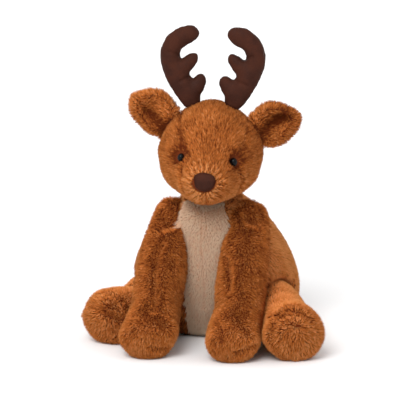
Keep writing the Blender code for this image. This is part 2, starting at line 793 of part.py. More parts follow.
def make_tail(toy):
    along = BACK * math.cos(TAIL_RISE) + UP * math.sin(TAIL_RISE)
    over = UP * math.cos(TAIL_RISE) - BACK * math.sin(TAIL_RISE)
    rings = []
    for distance, radius in TAIL_RING_SHARES:
        centre = tail_root() + along * distance * TAIL_LENGTH
        rings.append((centre, SIDE * radius * TAIL_RADIUS, over * radius * TAIL_RADIUS))
    tips = (tail_root() - along * TAIL_ROOT_RADIUS / 2, tail_root() + along * TAIL_LENGTH)
    tail = smooth_form(loft("tail", rings, tips, TAIL_SIDES, toy.parts))
    root = as_cutter(ball("tail_root", tail_root(), (TAIL_ROOT_RADIUS,) * 3, toy.cutters))
    join_by(tail, root, "UNION")
    toy.finish(tail, toy.rust)


def put_in_frame(toy, local, *things):
    """Moves things made at the origin to a frame on the head."""
    for thing in things:
        thing.matrix_world = toy.head_frame.matrix_world @ local


def make_ears(toy):
    """Two cloth layers on a rounded root. Returns the rooms that the roots turn in."""
    layer = (EAR_THICKNESS - CLEARANCE) / 2
    back = hollow(swell(ear_sheet("ear_back_left", toy.parts), CLEARANCE / 2), layer, 1.0)
    lining = hollow(swell(ear_sheet("ear_lining_left", toy.parts), -CLEARANCE / 2), layer, -1.0)
    radii = (EAR_SEAM / 2, EAR_THICKNESS / 2, EAR_THICKNESS / 2)
    origin = Vector((0, 0, 0))
    root = as_cutter(ball("ear_root", origin, radii, toy.cutters))
    join_by(back, root, "UNION")
    lining_room = tuple(radius + CLEARANCE for radius in radii)
    beside = as_cutter(ball("ear_root_with_room", origin, lining_room, toy.cutters))
    cut(lining, beside)
    toy.finish(back, toy.rust)
    toy.finish(lining, toy.rust)
    ears = {1: (back, lining, root, beside)}
    ears[-1] = (
        mirrored(back, "ear_back_right", toy.parts),
        mirrored(lining, "ear_lining_right", toy.parts),
    )
    rooms = []
    seat = HEAD_RADIUS + EAR_SEAT
    for label, side in SIDES.items():
        spot = Vector((side * seat * math.cos(EAR_RISE), EAR_BACK_SET, seat * math.sin(EAR_RISE)))
        lean = Matrix.Rotation(side * (QUARTER_TURN - EAR_RISE + EAR_DROOPS[side]), 4, "Y")
        room = tuple(room_radius(radius) for radius in radii)
        rooms.append(as_cutter(ball("ear_room_" + label, origin, room, toy.cutters)))
        put_in_frame(toy, Matrix.Translation(spot) @ lean, *ears[side], rooms[-1])
    return rooms


def make_antlers(toy):
    """A suedette cover round its filling. Returns the rooms that the roots turn in."""
    origin = Vector((0, 0, 0))
    cover, tines = antler_form("antler_cover_left", 0.0, toy.parts, toy.cutters)
    inside, inner_tines = antler_form("antler_inside", SUEDETTE_WALL, toy.cutters, toy.cutters)
    filling, core_tines = antler_form(
        "antler_filling_left", SUEDETTE_WALL + FILLING_GAP, toy.parts, toy.cutters
    )
    doorway = rod("antler_doorway", origin, -UP * ANTLER_HOLE_DEPTH, ANTLER_HOLE_RADIUS, toy.cutters)
    cut(cover, as_cutter(inside), as_cutter(doorway))
    toy.finish(cover, toy.suedette)
    toy.finish(filling, toy.filling)
    antlers = {1: (cover, filling, inside, doorway, *tines, *inner_tines, *core_tines)}
    antlers[-1] = (
        mirrored(cover, "antler_cover_right", toy.parts),
        mirrored(filling, "antler_filling_right", toy.parts),
    )
    rooms = []
    radius = BEAM_SHARES[0][-1] * ANTLER_GIRTH
    thick = radius * ANTLER_FLATNESS
    room = (room_radius(radius), room_radius(thick), room_radius(thick))
    for label, side in SIDES.items():
        sideways = side * ANTLER_SPREAD + ANTLER_SIDEWAYS
        rise = math.sqrt(HEAD_RADIUS**2 - sideways**2 - ANTLER_BACK_SET**2) + ANTLER_SEAT
        spot = Vector((sideways, ANTLER_BACK_SET, rise))
        rooms.append(as_cutter(ball("antler_room_" + label, origin, room, toy.cutters)))
        local = Matrix.Translation(spot) @ Matrix.Rotation(ANTLER_LEAN, 4, "Y")
        put_in_frame(toy, local, *antlers[side], rooms[-1])
    return rooms


def eye_place(side):
    """The eye's middle and the way it looks, in the head's frame."""
    out = Vector((side * EYE_SPREAD, -EYE_REACH, EYE_RISE))
    return out - out.normalized() * EYE_SINK, out.normalized()


def make_eye(toy, label, side):
    """Returns the cutters that make room in the cover and in the filling."""
    middle, look = eye_place(side)
    size = (EYE_RADIUS,) * 3
    bead = ball("eye_" + label, middle, size, toy.parts, BEAD_SEGMENTS, BEAD_RINGS)
    shank_end = middle - look * SHANK_LENGTH
    shank = as_cutter(rod("eye_shank_" + label, middle, shank_end, SHANK_RADIUS, toy.cutters))
    join_by(bead, shank, "UNION")
    room = tuple(radius + CLEARANCE for radius in size)
    bead_room = as_cutter(ball("eye_room_" + label, middle, room, toy.cutters, BEAD_SEGMENTS, BEAD_RINGS))
    shank_room = as_cutter(
        rod(
            "shank_room_" + label,
            middle,
            shank_end - look * CLEARANCE,
            SHANK_RADIUS + CLEARANCE,
            toy.cutters,
        )
    )
    washer_front = middle - look * (EYE_RADIUS + COVER_WALL)
    washer_back = washer_front - look * WASHER_THICKNESS
    washer = rod("eye_washer_" + label, washer_front, washer_back, WASHER_RADIUS, toy.parts)
    cut(washer, shank_room)
    pocket = as_cutter(
        rod(
            "washer_pocket_" + label,
            middle + look * EYE_RADIUS,
            washer_back - look * CLEARANCE,
            WASHER_RADIUS + CLEARANCE,
            toy.cutters,
        )
    )
    for thing in (bead, shank, bead_room, shank_room, washer, pocket):
        thing.matrix_world = toy.head_frame.matrix_world
    toy.finish(bead, toy.bead)
    toy.finish(washer, toy.plastic)
    return (bead_room, shank_room), (pocket, shank_room)


def make_head(toy):
    rooms = make_ears(toy) + make_antlers(toy)
    cover_cuts = []
    filling_cuts = []
    for label, side in SIDES.items():
        through_cover, through_filling = make_eye(toy, label, side)
        cover_cuts += through_cover
        filling_cuts += through_filling
    cover = hollow(head_form("head_cover", toy.parts), COVER_WALL)
    filling = head_form("head_filling", toy.parts, -COVER_WALL - FILLING_GAP)
    around = as_cutter(head_form("head_with_room", toy.cutters, CLEARANCE))
    nose = trapezium_nose("nose", toy.parts)
    for thing in (cover, filling, around, nose):
        thing.matrix_world = toy.head_frame.matrix_world
    cut(cover, toy.neck_room, *rooms, *cover_cuts)
    cut(filling, toy.neck_room, *rooms, *filling_cuts)
    cut(nose, around)
    toy.finish(cover, toy.caramel)
    toy.finish(filling, toy.filling)
    toy.finish(nose, toy.suedette)


def main():
    clear_scene()
    toy = Toy()
    make_neck(toy)
    make_body(toy)
    body_block = body_with_sockets(toy, "body_with_room")
    for label, side in SIDES.items():
        make_arm(toy, label, side, body_block)
        make_leg(toy, label, side, body_block)
    make_tail(toy)
    make_head(toy)
    bpy.context.view_layer.update()


main()
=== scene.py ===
import json
import math

import bmesh
import bpy
import numpy as np
from bpy.props import FloatProperty, FloatVectorProperty, IntProperty, PointerProperty
from mathutils import Matrix, Vector
from mathutils.bvhtree import BVHTree
from mathutils.kdtree import KDTree

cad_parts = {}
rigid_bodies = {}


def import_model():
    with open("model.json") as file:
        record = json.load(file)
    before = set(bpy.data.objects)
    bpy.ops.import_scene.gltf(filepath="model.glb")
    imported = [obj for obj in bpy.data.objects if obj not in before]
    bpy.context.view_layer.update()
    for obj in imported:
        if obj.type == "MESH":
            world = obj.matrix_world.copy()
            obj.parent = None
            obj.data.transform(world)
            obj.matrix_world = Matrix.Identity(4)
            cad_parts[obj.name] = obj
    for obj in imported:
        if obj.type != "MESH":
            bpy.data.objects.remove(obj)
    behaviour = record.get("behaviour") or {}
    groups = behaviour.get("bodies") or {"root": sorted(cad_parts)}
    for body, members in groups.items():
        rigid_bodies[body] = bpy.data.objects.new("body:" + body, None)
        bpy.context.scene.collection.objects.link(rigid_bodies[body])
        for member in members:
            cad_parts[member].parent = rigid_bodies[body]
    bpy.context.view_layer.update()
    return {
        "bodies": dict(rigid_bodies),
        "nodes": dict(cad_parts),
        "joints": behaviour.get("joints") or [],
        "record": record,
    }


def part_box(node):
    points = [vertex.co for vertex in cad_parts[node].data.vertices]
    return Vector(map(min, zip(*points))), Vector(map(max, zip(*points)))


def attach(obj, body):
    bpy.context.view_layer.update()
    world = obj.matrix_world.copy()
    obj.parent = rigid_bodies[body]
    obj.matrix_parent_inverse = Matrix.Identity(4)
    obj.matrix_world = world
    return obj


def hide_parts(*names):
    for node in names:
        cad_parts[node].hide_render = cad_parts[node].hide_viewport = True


bl_info = {
    "name": "Plush reindeer dresser",
    "version": (1, 0, 0),
    "blender": (4, 5, 0),
    "location": "3D View > Sidebar > Reindeer",
    "description": "Sews plush, suedette, bead eyes and a studio round the packed reindeer",
    "category": "Object",
}

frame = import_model()
nodes = frame["nodes"]

MM = 0.001
SIDES = {"left": 1, "right": -1}
# Pile that something lies on: the share of its length that is left, and its angle from upright
PRESSED_LENGTH = 0.45
PRESSED_LEAN = math.radians(72)
# How far pile and skins stay over the floor
FLOOR_GAP = 0.2 * MM
# The head's own frame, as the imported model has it
HEAD = (
    Matrix.Translation((0.0025, -0.046, 0.1965))
    @ Matrix.Rotation(math.radians(5), 4, "Z")
    @ Matrix.Rotation(math.radians(4), 4, "Y")
)
NOSE_IN_HEAD = Vector((0, -0.0655, -0.018))
EYES_IN_HEAD = {1: Vector((0.0270, -0.0445, 0.0010)), -1: Vector((-0.0270, -0.0445, 0.0010))}
# Height and half width of the cream panel, in mm
PANEL = (
    (0, 18.9),
    (5, 18.9),
    (31, 19.6),
    (61, 22.4),
    (89, 28.7),
    (110, 35),
    (128, 32.2),
    (142, 23),
    (150, 15),
)
PANEL_FRONT = -0.027

# Where the photograph's picture shows a seam or crease: across and down, in its 400 pixels
BROW_SEAMS = (
    ((184, 108), (180, 122), (180, 134), (184, 146), (190, 158)),
    ((247, 118), (247, 132), (243, 146), (236, 156), (229, 163)),
)
MUZZLE_SEAMS = (
    ((188, 160), (183, 168), (182, 180), (185, 192)),
    ((231, 163), (238, 171), (241, 181), (237, 191), (229, 200)),
)
LIP_SEAM = ((204.5, 191), (204.5, 205))
BELLY_SEAM = ((202, 206), (201.5, 228), (201, 246), (203, 268), (204.5, 285), (205, 305))
ARM_CREASES = {
    1: ((226.5, 257), (230, 268), (231, 280), (230, 291)),
    -1: ((166, 240), (158.5, 256), (156.3, 278), (156.5, 300), (152, 312)),
}
PAW_FOLDS = {
    1: (((256, 344), (244, 349), (236, 352)), ((218, 322), (222, 330), (221, 340))),
    -1: (((151, 346), (158, 348), (170, 346.5), (174, 344)), ((157, 311), (168, 314), (176, 321))),
}
SHOULDER_SEAMS = {1: ((256, 202), (262, 215), (268, 228)), -1: ((152, 227), (159, 231), (166, 239))}
EAR_CREASES = {
    1: ((257, 138), (265, 129), (274, 121), (284, 115)),
    -1: ((170, 133), (164, 127), (157, 120), (149, 113)),
}
FOOT_CREASES = {
    1: ((270, 319), (277, 315), (288, 313), (299, 315), (309, 321)),
    -1: ((87, 301), (96, 307), (108, 313), (122, 318)),
}
# Where fingers draw a skin, at a place in the picture: how far right, up and out, and how widely, in mm
HEAD_PULLS = (
    ((206, 198), (0, 0, 4.5), 10),
    ((191, 182), (-1.5, 0.5, 5.5), 7),
    ((223, 184), (1.5, 0.5, 5.5), 7),
    ((168, 178), (-3, -1, 1.5), 14),
    ((252, 180), (3, -1, 1.5), 14),
    ((160, 150), (-2.5, 0, 0), 18),
    ((261, 150), (2.5, 0, 0), 18),
    ((213, 102), (0, 2.5, 0), 20),
    ((181, 144), (0, 1, 2), 8),
    ((234, 148), (0, 1, 2), 8),
)
ARM_PULLS = {
    1: (
        ((240, 212), (-6, 0, 8), 18),
        ((230, 240), (-3, 0, 1), 16),
        ((264, 203), (-9, -8, 0), 13),
        ((214, 345), (-3, 0, 3), 13),
        ((217, 303), (5, 0, -2), 15),
        ((250, 338), (4, 0, 4), 13),
    ),
    -1: (
        ((156, 201), (6, -8, 0), 12),
        ((159, 201), (12, -9, 0), 15),
        ((128, 336), (-5, 0, 1), 16),
        ((168, 330), (4, 0, 4), 12),
        ((176, 298), (-3, 0, -2), 13),
        ((134, 300), (3, 0, 0), 14),
    ),
}
LEG_PULLS = {
    1: (((275, 335), (-7, 0, 1), 17), ((292, 308), (-1, 3, 2), 17), ((312, 340), (2, 0, 1), 16)),
    -1: (((131, 283), (2, -12, 0), 17), ((92, 320), (-2, 0, 1), 14), ((105, 297), (0, 1, 1), 12)),
}
ANTLER_PULLS = {
    1: (
        ((238, 43), (-1, -2.5, 0), 8),
        ((266, 54), (-1.5, 0, 0), 4),
        ((231, 57), (-1, 1.5, 0), 6),
    ),
    -1: (
        ((188, 44), (0.5, -2, 0), 8),
        ((195, 56), (1.3, 1.2, 0), 8),
        ((202, 77), (0, 2.5, 0), 6.5),
    ),
}
ANTLER_PUCKERS = {
    1: (((244, 60), (248, 58), (253, 57)), ((237, 82), (242, 84), (247, 86))),
    -1: (((180, 56), (175, 54), (169, 52)), ((190, 77), (185, 79), (180, 82))),
}
EAR_PULLS = {
    1: (((297, 116), (3, 0, 0), 9), ((286, 134), (-2, 2, 0), 10), ((262, 101), (0, 2, 0), 14)),
    -1: (((131, 97), (-3, 2, 0), 9), ((142, 124), (3, 3, 0), 11), ((160, 93), (0, 3, 0), 13)),
}


class PlushSizes(bpy.types.PropertyGroup):
    """Pile, cloth and seam sizes."""

    pile: FloatProperty(name="Pile", description="Length of a lock of plush", default=6.0 * MM, unit="LENGTH")
    lock: FloatProperty(
        name="Lock", description="Half the thickness of a lock at its root", default=0.35 * MM, unit="LENGTH"
    )
    density: FloatProperty(name="Density", description="Locks on a square millimetre", default=2.1)
    lean: FloatProperty(
        name="Lean", description="Angle of the pile from upright", default=math.radians(42), subtype="ANGLE"
    )
    clump: FloatProperty(name="Clumping", description="How far locks are drawn together", default=0.5)
    seed: IntProperty(name="Seed", description="Start of the pile's random numbers", default=7)
    cloth: FloatProperty(
        name="Cloth",
        description="Mesh size of a plush skin while it is stuffed",
        default=4.6 * MM,
        unit="LENGTH",
    )
    suedette: FloatProperty(
        name="Suedette",
        description="Mesh size of a small skin while it is stuffed",
        default=2.3 * MM,
        unit="LENGTH",
    )
    give: FloatProperty(
        name="Give",
        description="How far the stuffing may push the cloth out",
        default=3.0 * MM,
        unit="LENGTH",
    )
    pressure: FloatProperty(name="Pressure", description="Pressure of the stuffing", default=4.0)
    seam_depth: FloatProperty(
        name="Seam depth", description="How deep a seam pulls in", default=1.8 * MM, unit="LENGTH"
    )
    seam_width: FloatProperty(
        name="Seam width", description="Half width of a seam's hollow", default=3.0 * MM, unit="LENGTH"
    )


def colour_property(name, description, value):
    return FloatVectorProperty(
        name=name, description=description, default=(*value, 1.0), size=4, min=0, max=1, subtype="COLOR"
    )


class PlushColours(bpy.types.PropertyGroup):
    """Colours of the cloths and trims."""

    rust_root: colour_property("Rust root", "Rust plush at its backing", (0.090, 0.019, 0.004))
    rust_dark: colour_property("Rust dark", "Rust plush where it turns away", (0.175, 0.032, 0.006))
    rust_light: colour_property("Rust light", "Rust plush where it catches light", (0.640, 0.186, 0.034))
    rust_tip: colour_property("Rust tip", "Tips of the rust plush", (0.930, 0.395, 0.130))
    cream_root: colour_property("Cream root", "Cream plush at its backing", (0.680, 0.400, 0.240))
    cream_dark: colour_property("Cream dark", "Cream plush where it turns away", (0.930, 0.560, 0.345))
    cream_light: colour_property("Cream light", "Cream plush where it catches light", (0.970, 0.665, 0.455))
    cream_tip: colour_property("Cream tip", "Tips of the cream plush", (0.990, 0.775, 0.575))
    suedette: colour_property("Suedette", "Antlers and nose", (0.030, 0.0075, 0.0035))
    suedette_worn: colour_property(
        "Suedette, brushed", "Suedette where the nap is raised", (0.066, 0.0190, 0.0100)
    )
    bead: colour_property("Bead", "Eyes", (0.003, 0.0025, 0.0025))
    linen: colour_property("Linen", "Pellet pouch", (0.62, 0.58, 0.50))
    washer: colour_property("Washer", "Washers behind the eyes", (0.75, 0.75, 0.72))
    floor: colour_property("Floor", "Floor and background", (0.94, 0.94, 0.94))


class StudioPlace(bpy.types.PropertyGroup):
    """Where the camera stands and how strong the light is."""

    azimuth: FloatProperty(
        name="Azimuth", description="Camera's way round the toy", default=math.radians(10), subtype="ANGLE"
    )
    elevation: FloatProperty(
        name="Elevation", description="Camera's height angle", default=math.radians(13), subtype="ANGLE"
    )
    distance: FloatProperty(name="Distance", description="Camera to toy", default=5.0, unit="LENGTH")
    pixel: FloatProperty(
        name="Pixel", description="Length that one pixel of a 400 pixel picture covers", default=1.05 * MM
    )
    across: FloatProperty(name="Across", description="Pixels from the left to the seat's middle", default=216)
    down: FloatProperty(name="Down", description="Pixels from the top to the seat's middle", default=325)
    sky: FloatProperty(name="Sky", description="Strength of the even light", default=0.79)
    key: FloatProperty(name="Key", description="Strength of the soft main light", default=1.9)


# Shared helpers


def look():
    """The camera's axes (right, up, back) and the point that the picture's middle shows."""
    place = bpy.context.scene.studio_place
    ca, sa = math.cos(place.azimuth), math.sin(place.azimuth)
    ce, se = math.cos(place.elevation), math.sin(place.elevation)
    back = Vector((sa * ce, -ca * ce, se))
    right = Vector((ca, sa, 0))
    up = back.cross(right)
    middle = right * (200 - place.across) * place.pixel + up * (place.down - 200) * place.pixel
    return right, up, back, middle


def tree_of(mesh):
    mesh.calc_loop_triangles()
    corners = [tuple(triangle.vertices) for triangle in mesh.loop_triangles]
    return BVHTree.FromPolygons([vertex.co for vertex in mesh.vertices], corners)


def seen_on(skin, picture_points, steps=16):
    """The line on a skin that the camera sees along the given points of the picture."""
    place = bpy.context.scene.studio_place
    right, up, back, middle = look()
    eye = middle + back * place.distance
    tree = tree_of(skin.data)
    spots = []
    ends = list(zip(picture_points, picture_points[1:]))
    for (x0, y0), (x1, y1) in ends:
        for step in range(steps):
            share = step / steps
            across = (x0 + (x1 - x0) * share - 200) * place.pixel
            high = (200 - y0 - (y1 - y0) * share) * place.pixel
            way = (middle + right * across + up * high - eye).normalized()
            hit = tree.ray_cast(eye, way)[0]
            if hit:
                spots.append(tuple(hit))
    if not spots:
        raise RuntimeError("No part of the line lies on " + skin.name)
    return np.array(spots)


def coordinates(mesh):
    spots = np.empty(len(mesh.vertices) * 3)
    mesh.vertices.foreach_get("co", spots)
    return spots.reshape(-1, 3)


def vertex_normals(mesh):
    ways = np.empty(len(mesh.vertices) * 3, dtype=np.float32)
    mesh.vertices.foreach_get("normal", ways)
    return ways.reshape(-1, 3).astype(float)


def nearest(spots, points):
    """Distance from each spot to the nearest of the points, and the way from it."""
    best = np.full(len(spots), np.inf)
    away = np.zeros_like(spots)
    for point in points:
        apart = spots - point
        distance = np.linalg.norm(apart, axis=1)
        closer = distance < best
        best[closer] = distance[closer]
        away[closer] = apart[closer]
    return best, away / np.maximum(best, 1e-9)[:, None]


def unit(ways):
    return ways / np.maximum(np.linalg.norm(ways, axis=1), 1e-12)[:, None]


def waves(spots, length, seed):
    """Soft noise from -1 to 1 whose swells are about the given length."""
    chance = np.random.default_rng(seed)
    total = np.zeros(len(spots))
    for _ in range(7):
        way = chance.normal(size=3)
        way *= chance.uniform(0.6, 1.5) * math.tau / length / np.linalg.norm(way)
        total += np.sin(spots @ way + chance.uniform(0, math.tau))
    return total / 4.0


def largest_island(mesh):
    made = bmesh.new()
    made.from_mesh(mesh)
    made.verts.ensure_lookup_table()
    seen = set()
    islands = []
    for start in made.verts:
        if start in seen:
            continue
        island = []
        queue = [start]
        seen.add(start)
        while queue:
            vertex = queue.pop()
            island.append(vertex)
            for edge in vertex.link_edges:
                other = edge.other_vert(vertex)
                if other not in seen:
                    seen.add(other)
                    queue.append(other)
        islands.append(island)
    islands.sort(key=len)
    for island in islands[:-1]:
        bmesh.ops.delete(made, geom=island, context="VERTS")
    made.to_mesh(mesh)
    made.free()


def mesh_from(name, made):
    mesh = bpy.data.meshes.new(name)
    made.to_mesh(mesh)
    made.free()
    return mesh


def added(name, data):
    thing = bpy.data.objects.new(name, data)
    bpy.context.scene.collection.objects.link(thing)
    return thing


def move_to(mesh, spots):
    mesh.vertices.foreach_set("co", spots.ravel())
    mesh.update()


def hinge_place(name):
    return np.array(next(joint["pos_m"] for joint in frame["joints"] if joint["name"] == name))


def gather(name, node_names):
    """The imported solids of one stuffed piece, joined in a new object."""
    made = bmesh.new()
    for node_name in node_names:
        made.from_mesh(nodes[node_name].data)
    return added(name, mesh_from(name, made))


def bake_modifiers(thing):
    graph = bpy.context.evaluated_depsgraph_get()
    mesh = bpy.data.meshes.new_from_object(thing.evaluated_get(graph))
    mesh.name = thing.name
    thing.modifiers.clear()
    thing.data = mesh


def fill_with_stuffing(thing, give, pressure, frames=20):
    """Pushes a closed skin out by a short cloth simulation under inner pressure, no further than it gives."""
    scene = bpy.context.scene
    cut = coordinates(thing.data)
    cloth = thing.modifiers.new("stuffing", "CLOTH")
    cloth.settings.use_pressure = True
    cloth.settings.uniform_pressure_force = pressure
    cloth.settings.effector_weights.gravity = 0
    cloth.settings.tension_stiffness = 12
    cloth.settings.compression_stiffness = 12
    cloth.settings.bending_stiffness = 0.6
    cloth.point_cache.frame_start = 1
    cloth.point_cache.frame_end = frames
    for number in range(1, frames + 1):
        scene.frame_set(number)
    bake_modifiers(thing)
    scene.frame_set(1)
    move = coordinates(thing.data) - cut
    reach = np.linalg.norm(move, axis=1)
    spots = cut + move * (give * np.tanh(reach / give) / np.maximum(reach, 1e-9))[:, None]
    spots[:, 2] = np.maximum(spots[:, 2], 0.3 * MM)
    move_to(thing.data, spots)


def stuffed_skin(name, node_names, mesh_size, settle=4, shrink=0.0, give=0.0):
    """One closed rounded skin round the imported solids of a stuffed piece."""
    thing = gather(name, node_names)
    wrap = thing.modifiers.new("wrap", "REMESH")
    wrap.mode = "VOXEL"
    wrap.voxel_size = mesh_size
    ease = thing.modifiers.new("ease", "SMOOTH")
    ease.factor = 0.5
    ease.iterations = settle
    if shrink:
        draw_in = thing.modifiers.new("draw_in", "DISPLACE")
        draw_in.mid_level = 0.0
        draw_in.strength = -shrink
    bake_modifiers(thing)
    largest_island(thing.data)
    if give:
        fill_with_stuffing(thing, give, bpy.context.scene.plush_sizes.pressure)
    finer = thing.modifiers.new("finer", "SUBSURF")
    finer.levels = finer.render_levels = 1
    bake_modifiers(thing)
    thing.data.shade_smooth()
    return thing


def press(skin, points, depth, width):
    """Pulls a skin in along a line of points, as a seam or a stitch does."""
    spots = coordinates(skin.data)
    ways = vertex_normals(skin.data)
    distance, _ = nearest(spots, points)
    spots -= ways * (depth * np.exp(-((distance / width) ** 2)))[:, None]
    move_to(skin.data, spots)


def pull(skin, picture_point, shift, reach):
    """Draws a skin right, up and out, by millimetres, round the place that the picture shows."""
    place = bpy.context.scene.studio_place
    right, up, back, middle = look()
    eye = middle + back * place.distance
    across, high = (picture_point[0] - 200) * place.pixel, (200 - picture_point[1]) * place.pixel
    way = (middle + right * across + up * high - eye).normalized()
    tree = tree_of(skin.data)
    # just beside the skin's edge, the nearest place on it is taken
    spot = tree.ray_cast(eye, way)[0] or tree.find_nearest(eye + way * (place.distance - 0.1))[0]
    move = np.array(right * shift[0] + up * shift[1] + back * shift[2]) * MM
    spots = coordinates(skin.data)
    distance = np.linalg.norm(spots - np.array(spot), axis=1)
    spots += np.exp(-((distance / (reach * MM)) ** 2))[:, None] * move
    spots[:, 2] = np.maximum(spots[:, 2], FLOOR_GAP)
    move_to(skin.data, spots)


def dress(thing, body, slot_name, material, *replaced):
    thing.data.materials.clear()
    thing.data.materials.append(material)
    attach(thing, body)
    if replaced:
        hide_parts(*replaced)


# Pile


class Pile:
    """Locks of plush on one skin: where they stand, which way they lie and how dark they are."""

    def __init__(self, skin, body, sizes, tone=0.5, density=1.0, length=1.0):
        self.skin = skin
        self.body = body
        self.sizes = sizes
        self.chance = np.random.default_rng(sizes.seed + sum(map(ord, skin.name)))
        self.place_roots(sizes.density / MM**2 * density)
        count = len(self.roots)
        self.length = sizes.pile * length * self.chance.uniform(0.82, 1.12, count)
        self.lean = np.full(count, sizes.lean)
        self.comb = np.tile((0.0, 0.0, -1.0), (count, 1))
        self.tone = tone + 0.09 * waves(self.roots, 24 * MM, 3) + 0.08 * waves(self.roots, 4 * MM, 4)
        self.keep = np.ones(count, dtype=bool)

    def place_roots(self, per_area):
        mesh = self.skin.data
        mesh.calc_loop_triangles()
        corners = np.empty(len(mesh.loop_triangles) * 3, dtype=np.int32)
        mesh.loop_triangles.foreach_get("vertices", corners)
        corners = corners.reshape(-1, 3)
        spots, ways = coordinates(mesh), vertex_normals(mesh)
        a, b, c = (spots[corners[:, i]] for i in range(3))
        area = np.linalg.norm(np.cross(b - a, c - a), axis=1) / 2
        count = int(area.sum() * per_area)
        picks = (np.arange(count) + self.chance.random(count)) / count * area.sum()
        chosen = np.minimum(np.searchsorted(np.cumsum(area), picks), len(area) - 1)
        u, v = self.chance.random((2, count))
        over = u + v > 1
        u[over], v[over] = 1 - u[over], 1 - v[over]
        shares = np.stack((1 - u - v, u, v), axis=1)[:, :, None]
        order = self.chance.permutation(count)
        self.roots = (spots[corners[chosen]] * shares).sum(axis=1)[order]
        self.up = unit((ways[corners[chosen]] * shares).sum(axis=1))[order]

    def lie(self, ways):
        """Combs the pile along the given ways."""
        self.comb = unit(np.asarray(ways, dtype=float))

    def swirl(self, length, amount, seed=11):
        turned = np.cross(self.up, self.comb)
        self.comb = unit(self.comb + turned * (amount * waves(self.roots, length, seed))[:, None])

    def part(self, points, reach, splay=0.9, painted_shade=0.5, shorten=0.45, bare=0.6 * MM):
        """Parts the pile along a seam, where it leans away, is shorter, shows its dark base and is painted
        darker as the seam's shade.
        """
        distance, away = nearest(self.roots, points)
        self.keep &= distance > bare
        near = np.exp(-((distance / reach) ** 2))
        self.comb = unit(self.comb * (1 - near * splay)[:, None] + away * (near * splay)[:, None])
        self.length *= 1 - shorten * near
        self.tone -= painted_shade * np.exp(-((distance / (reach * 0.8)) ** 2))

    def radiate(self, centre, reach, painted_shade=0.0, shorten=0.0, power=2, flatten=0.0):
        """Lays the pile outwards from a bead or the nose, with shade painted round it, and a highlight where
        the amount is negative.
        """
        apart = self.roots - np.array(centre)
        distance = np.linalg.norm(apart, axis=1)
        near = np.exp(-((distance / reach) ** power))
        self.comb = unit(self.comb * (1 - near)[:, None] + unit(apart) * near[:, None])
        self.length *= 1 - shorten * near
        self.tone -= painted_shade * near
        self.lean += flatten * near

    def height_over(self, solid, reach=6 * MM):
        """How far each root lies outside a solid, negative inside it and at most the reach."""
        tree, spots = tree_of(solid), coordinates(solid)
        beside = (self.roots > spots.min(axis=0) - reach) & (self.roots < spots.max(axis=0) + reach)
        height = np.full(len(self.roots), reach)
        for number in np.flatnonzero(self.keep & beside.all(axis=1)):
            root = Vector(self.roots[number])
            spot, way, _, apart = tree.find_nearest(root, reach)
            if spot:
                height[number] = apart if (root - spot).dot(way) > 0 else -apart
        return height

    def clear_of(self, solids, gap=1.0 * MM):
        """Leaves out locks whose roots lie against, or inside, another piece."""
        for solid in solids:
            self.keep &= self.height_over(solid) > gap

    def pressed_by(self, solids, gap=2.0 * MM):
        """Lays the pile flat and short where another part of the toy lies on it."""
        for solid in solids:
            height = self.height_over(solid)
            self.press_flat(height < gap)
            self.keep &= height > -5.5 * MM

    def press_flat(self, where):
        self.length[where] *= PRESSED_LENGTH
        self.lean[where] = PRESSED_LEAN

    def sit(self):
        """Lays the pile flat where the toy rests on the floor."""
        self.press_flat((self.roots[:, 2] < 1.5 * MM) & (self.up[:, 2] < -0.5))

    def grow(self, name, slot_name, material, keep=None):
        """Makes the locks as closed tapering solids, in clumps, in one piece."""
        kept = self.keep if keep is None else self.keep & keep
        if not kept.any():
            raise RuntimeError("No pile is left for " + name)
        roots, up = self.roots[kept], self.up[kept]
        comb, length = self.comb[kept], self.length[kept]
        lean, tone = self.lean[kept], self.tone[kept].copy()
        count = len(roots)
        chance = np.random.default_rng(self.sizes.seed + len(name))
        comb = unit(comb - up * (comb * up).sum(axis=1)[:, None])
        comb = unit(comb + np.cross(up, comb) * chance.normal(0, 0.22, count)[:, None])
        lean = lean + chance.normal(0, 0.14, count)
        rise = unit(up * np.cos(lean)[:, None] + comb * np.sin(lean)[:, None])
        lower = roots - up * 0.5 * MM
        tip = lower + rise * length[:, None]
        leaders = max(count // 7, 1)
        tree = KDTree(leaders)
        for number in range(leaders):
            tree.insert(roots[number], number)
        tree.balance()
        leader = np.array([tree.find(root)[1] for root in roots])
        tip += (tip[leader] - tip) * (self.sizes.clump * chance.uniform(0.3, 1.2, count))[:, None]
        tone += chance.normal(0, 0.12, leaders)[leader] + chance.normal(0, 0.12, count)
        side = unit(np.cross(rise, up) + 1e-6)
        over = np.cross(rise, side)
        thick = self.sizes.lock * chance.uniform(0.8, 1.25, count)[:, None]
        spots = np.empty((count, 4, 3))
        for corner in range(3):
            angle = math.tau * corner / 3
            spots[:, corner] = lower + (side * math.cos(angle) + over * math.sin(angle)) * thick
        spots[:, 3] = tip
        spots[:, :, 2] = np.maximum(spots[:, :, 2], FLOOR_GAP)
        return self.build(name, slot_name, material, spots, np.clip(tone, 0.03, 0.97))

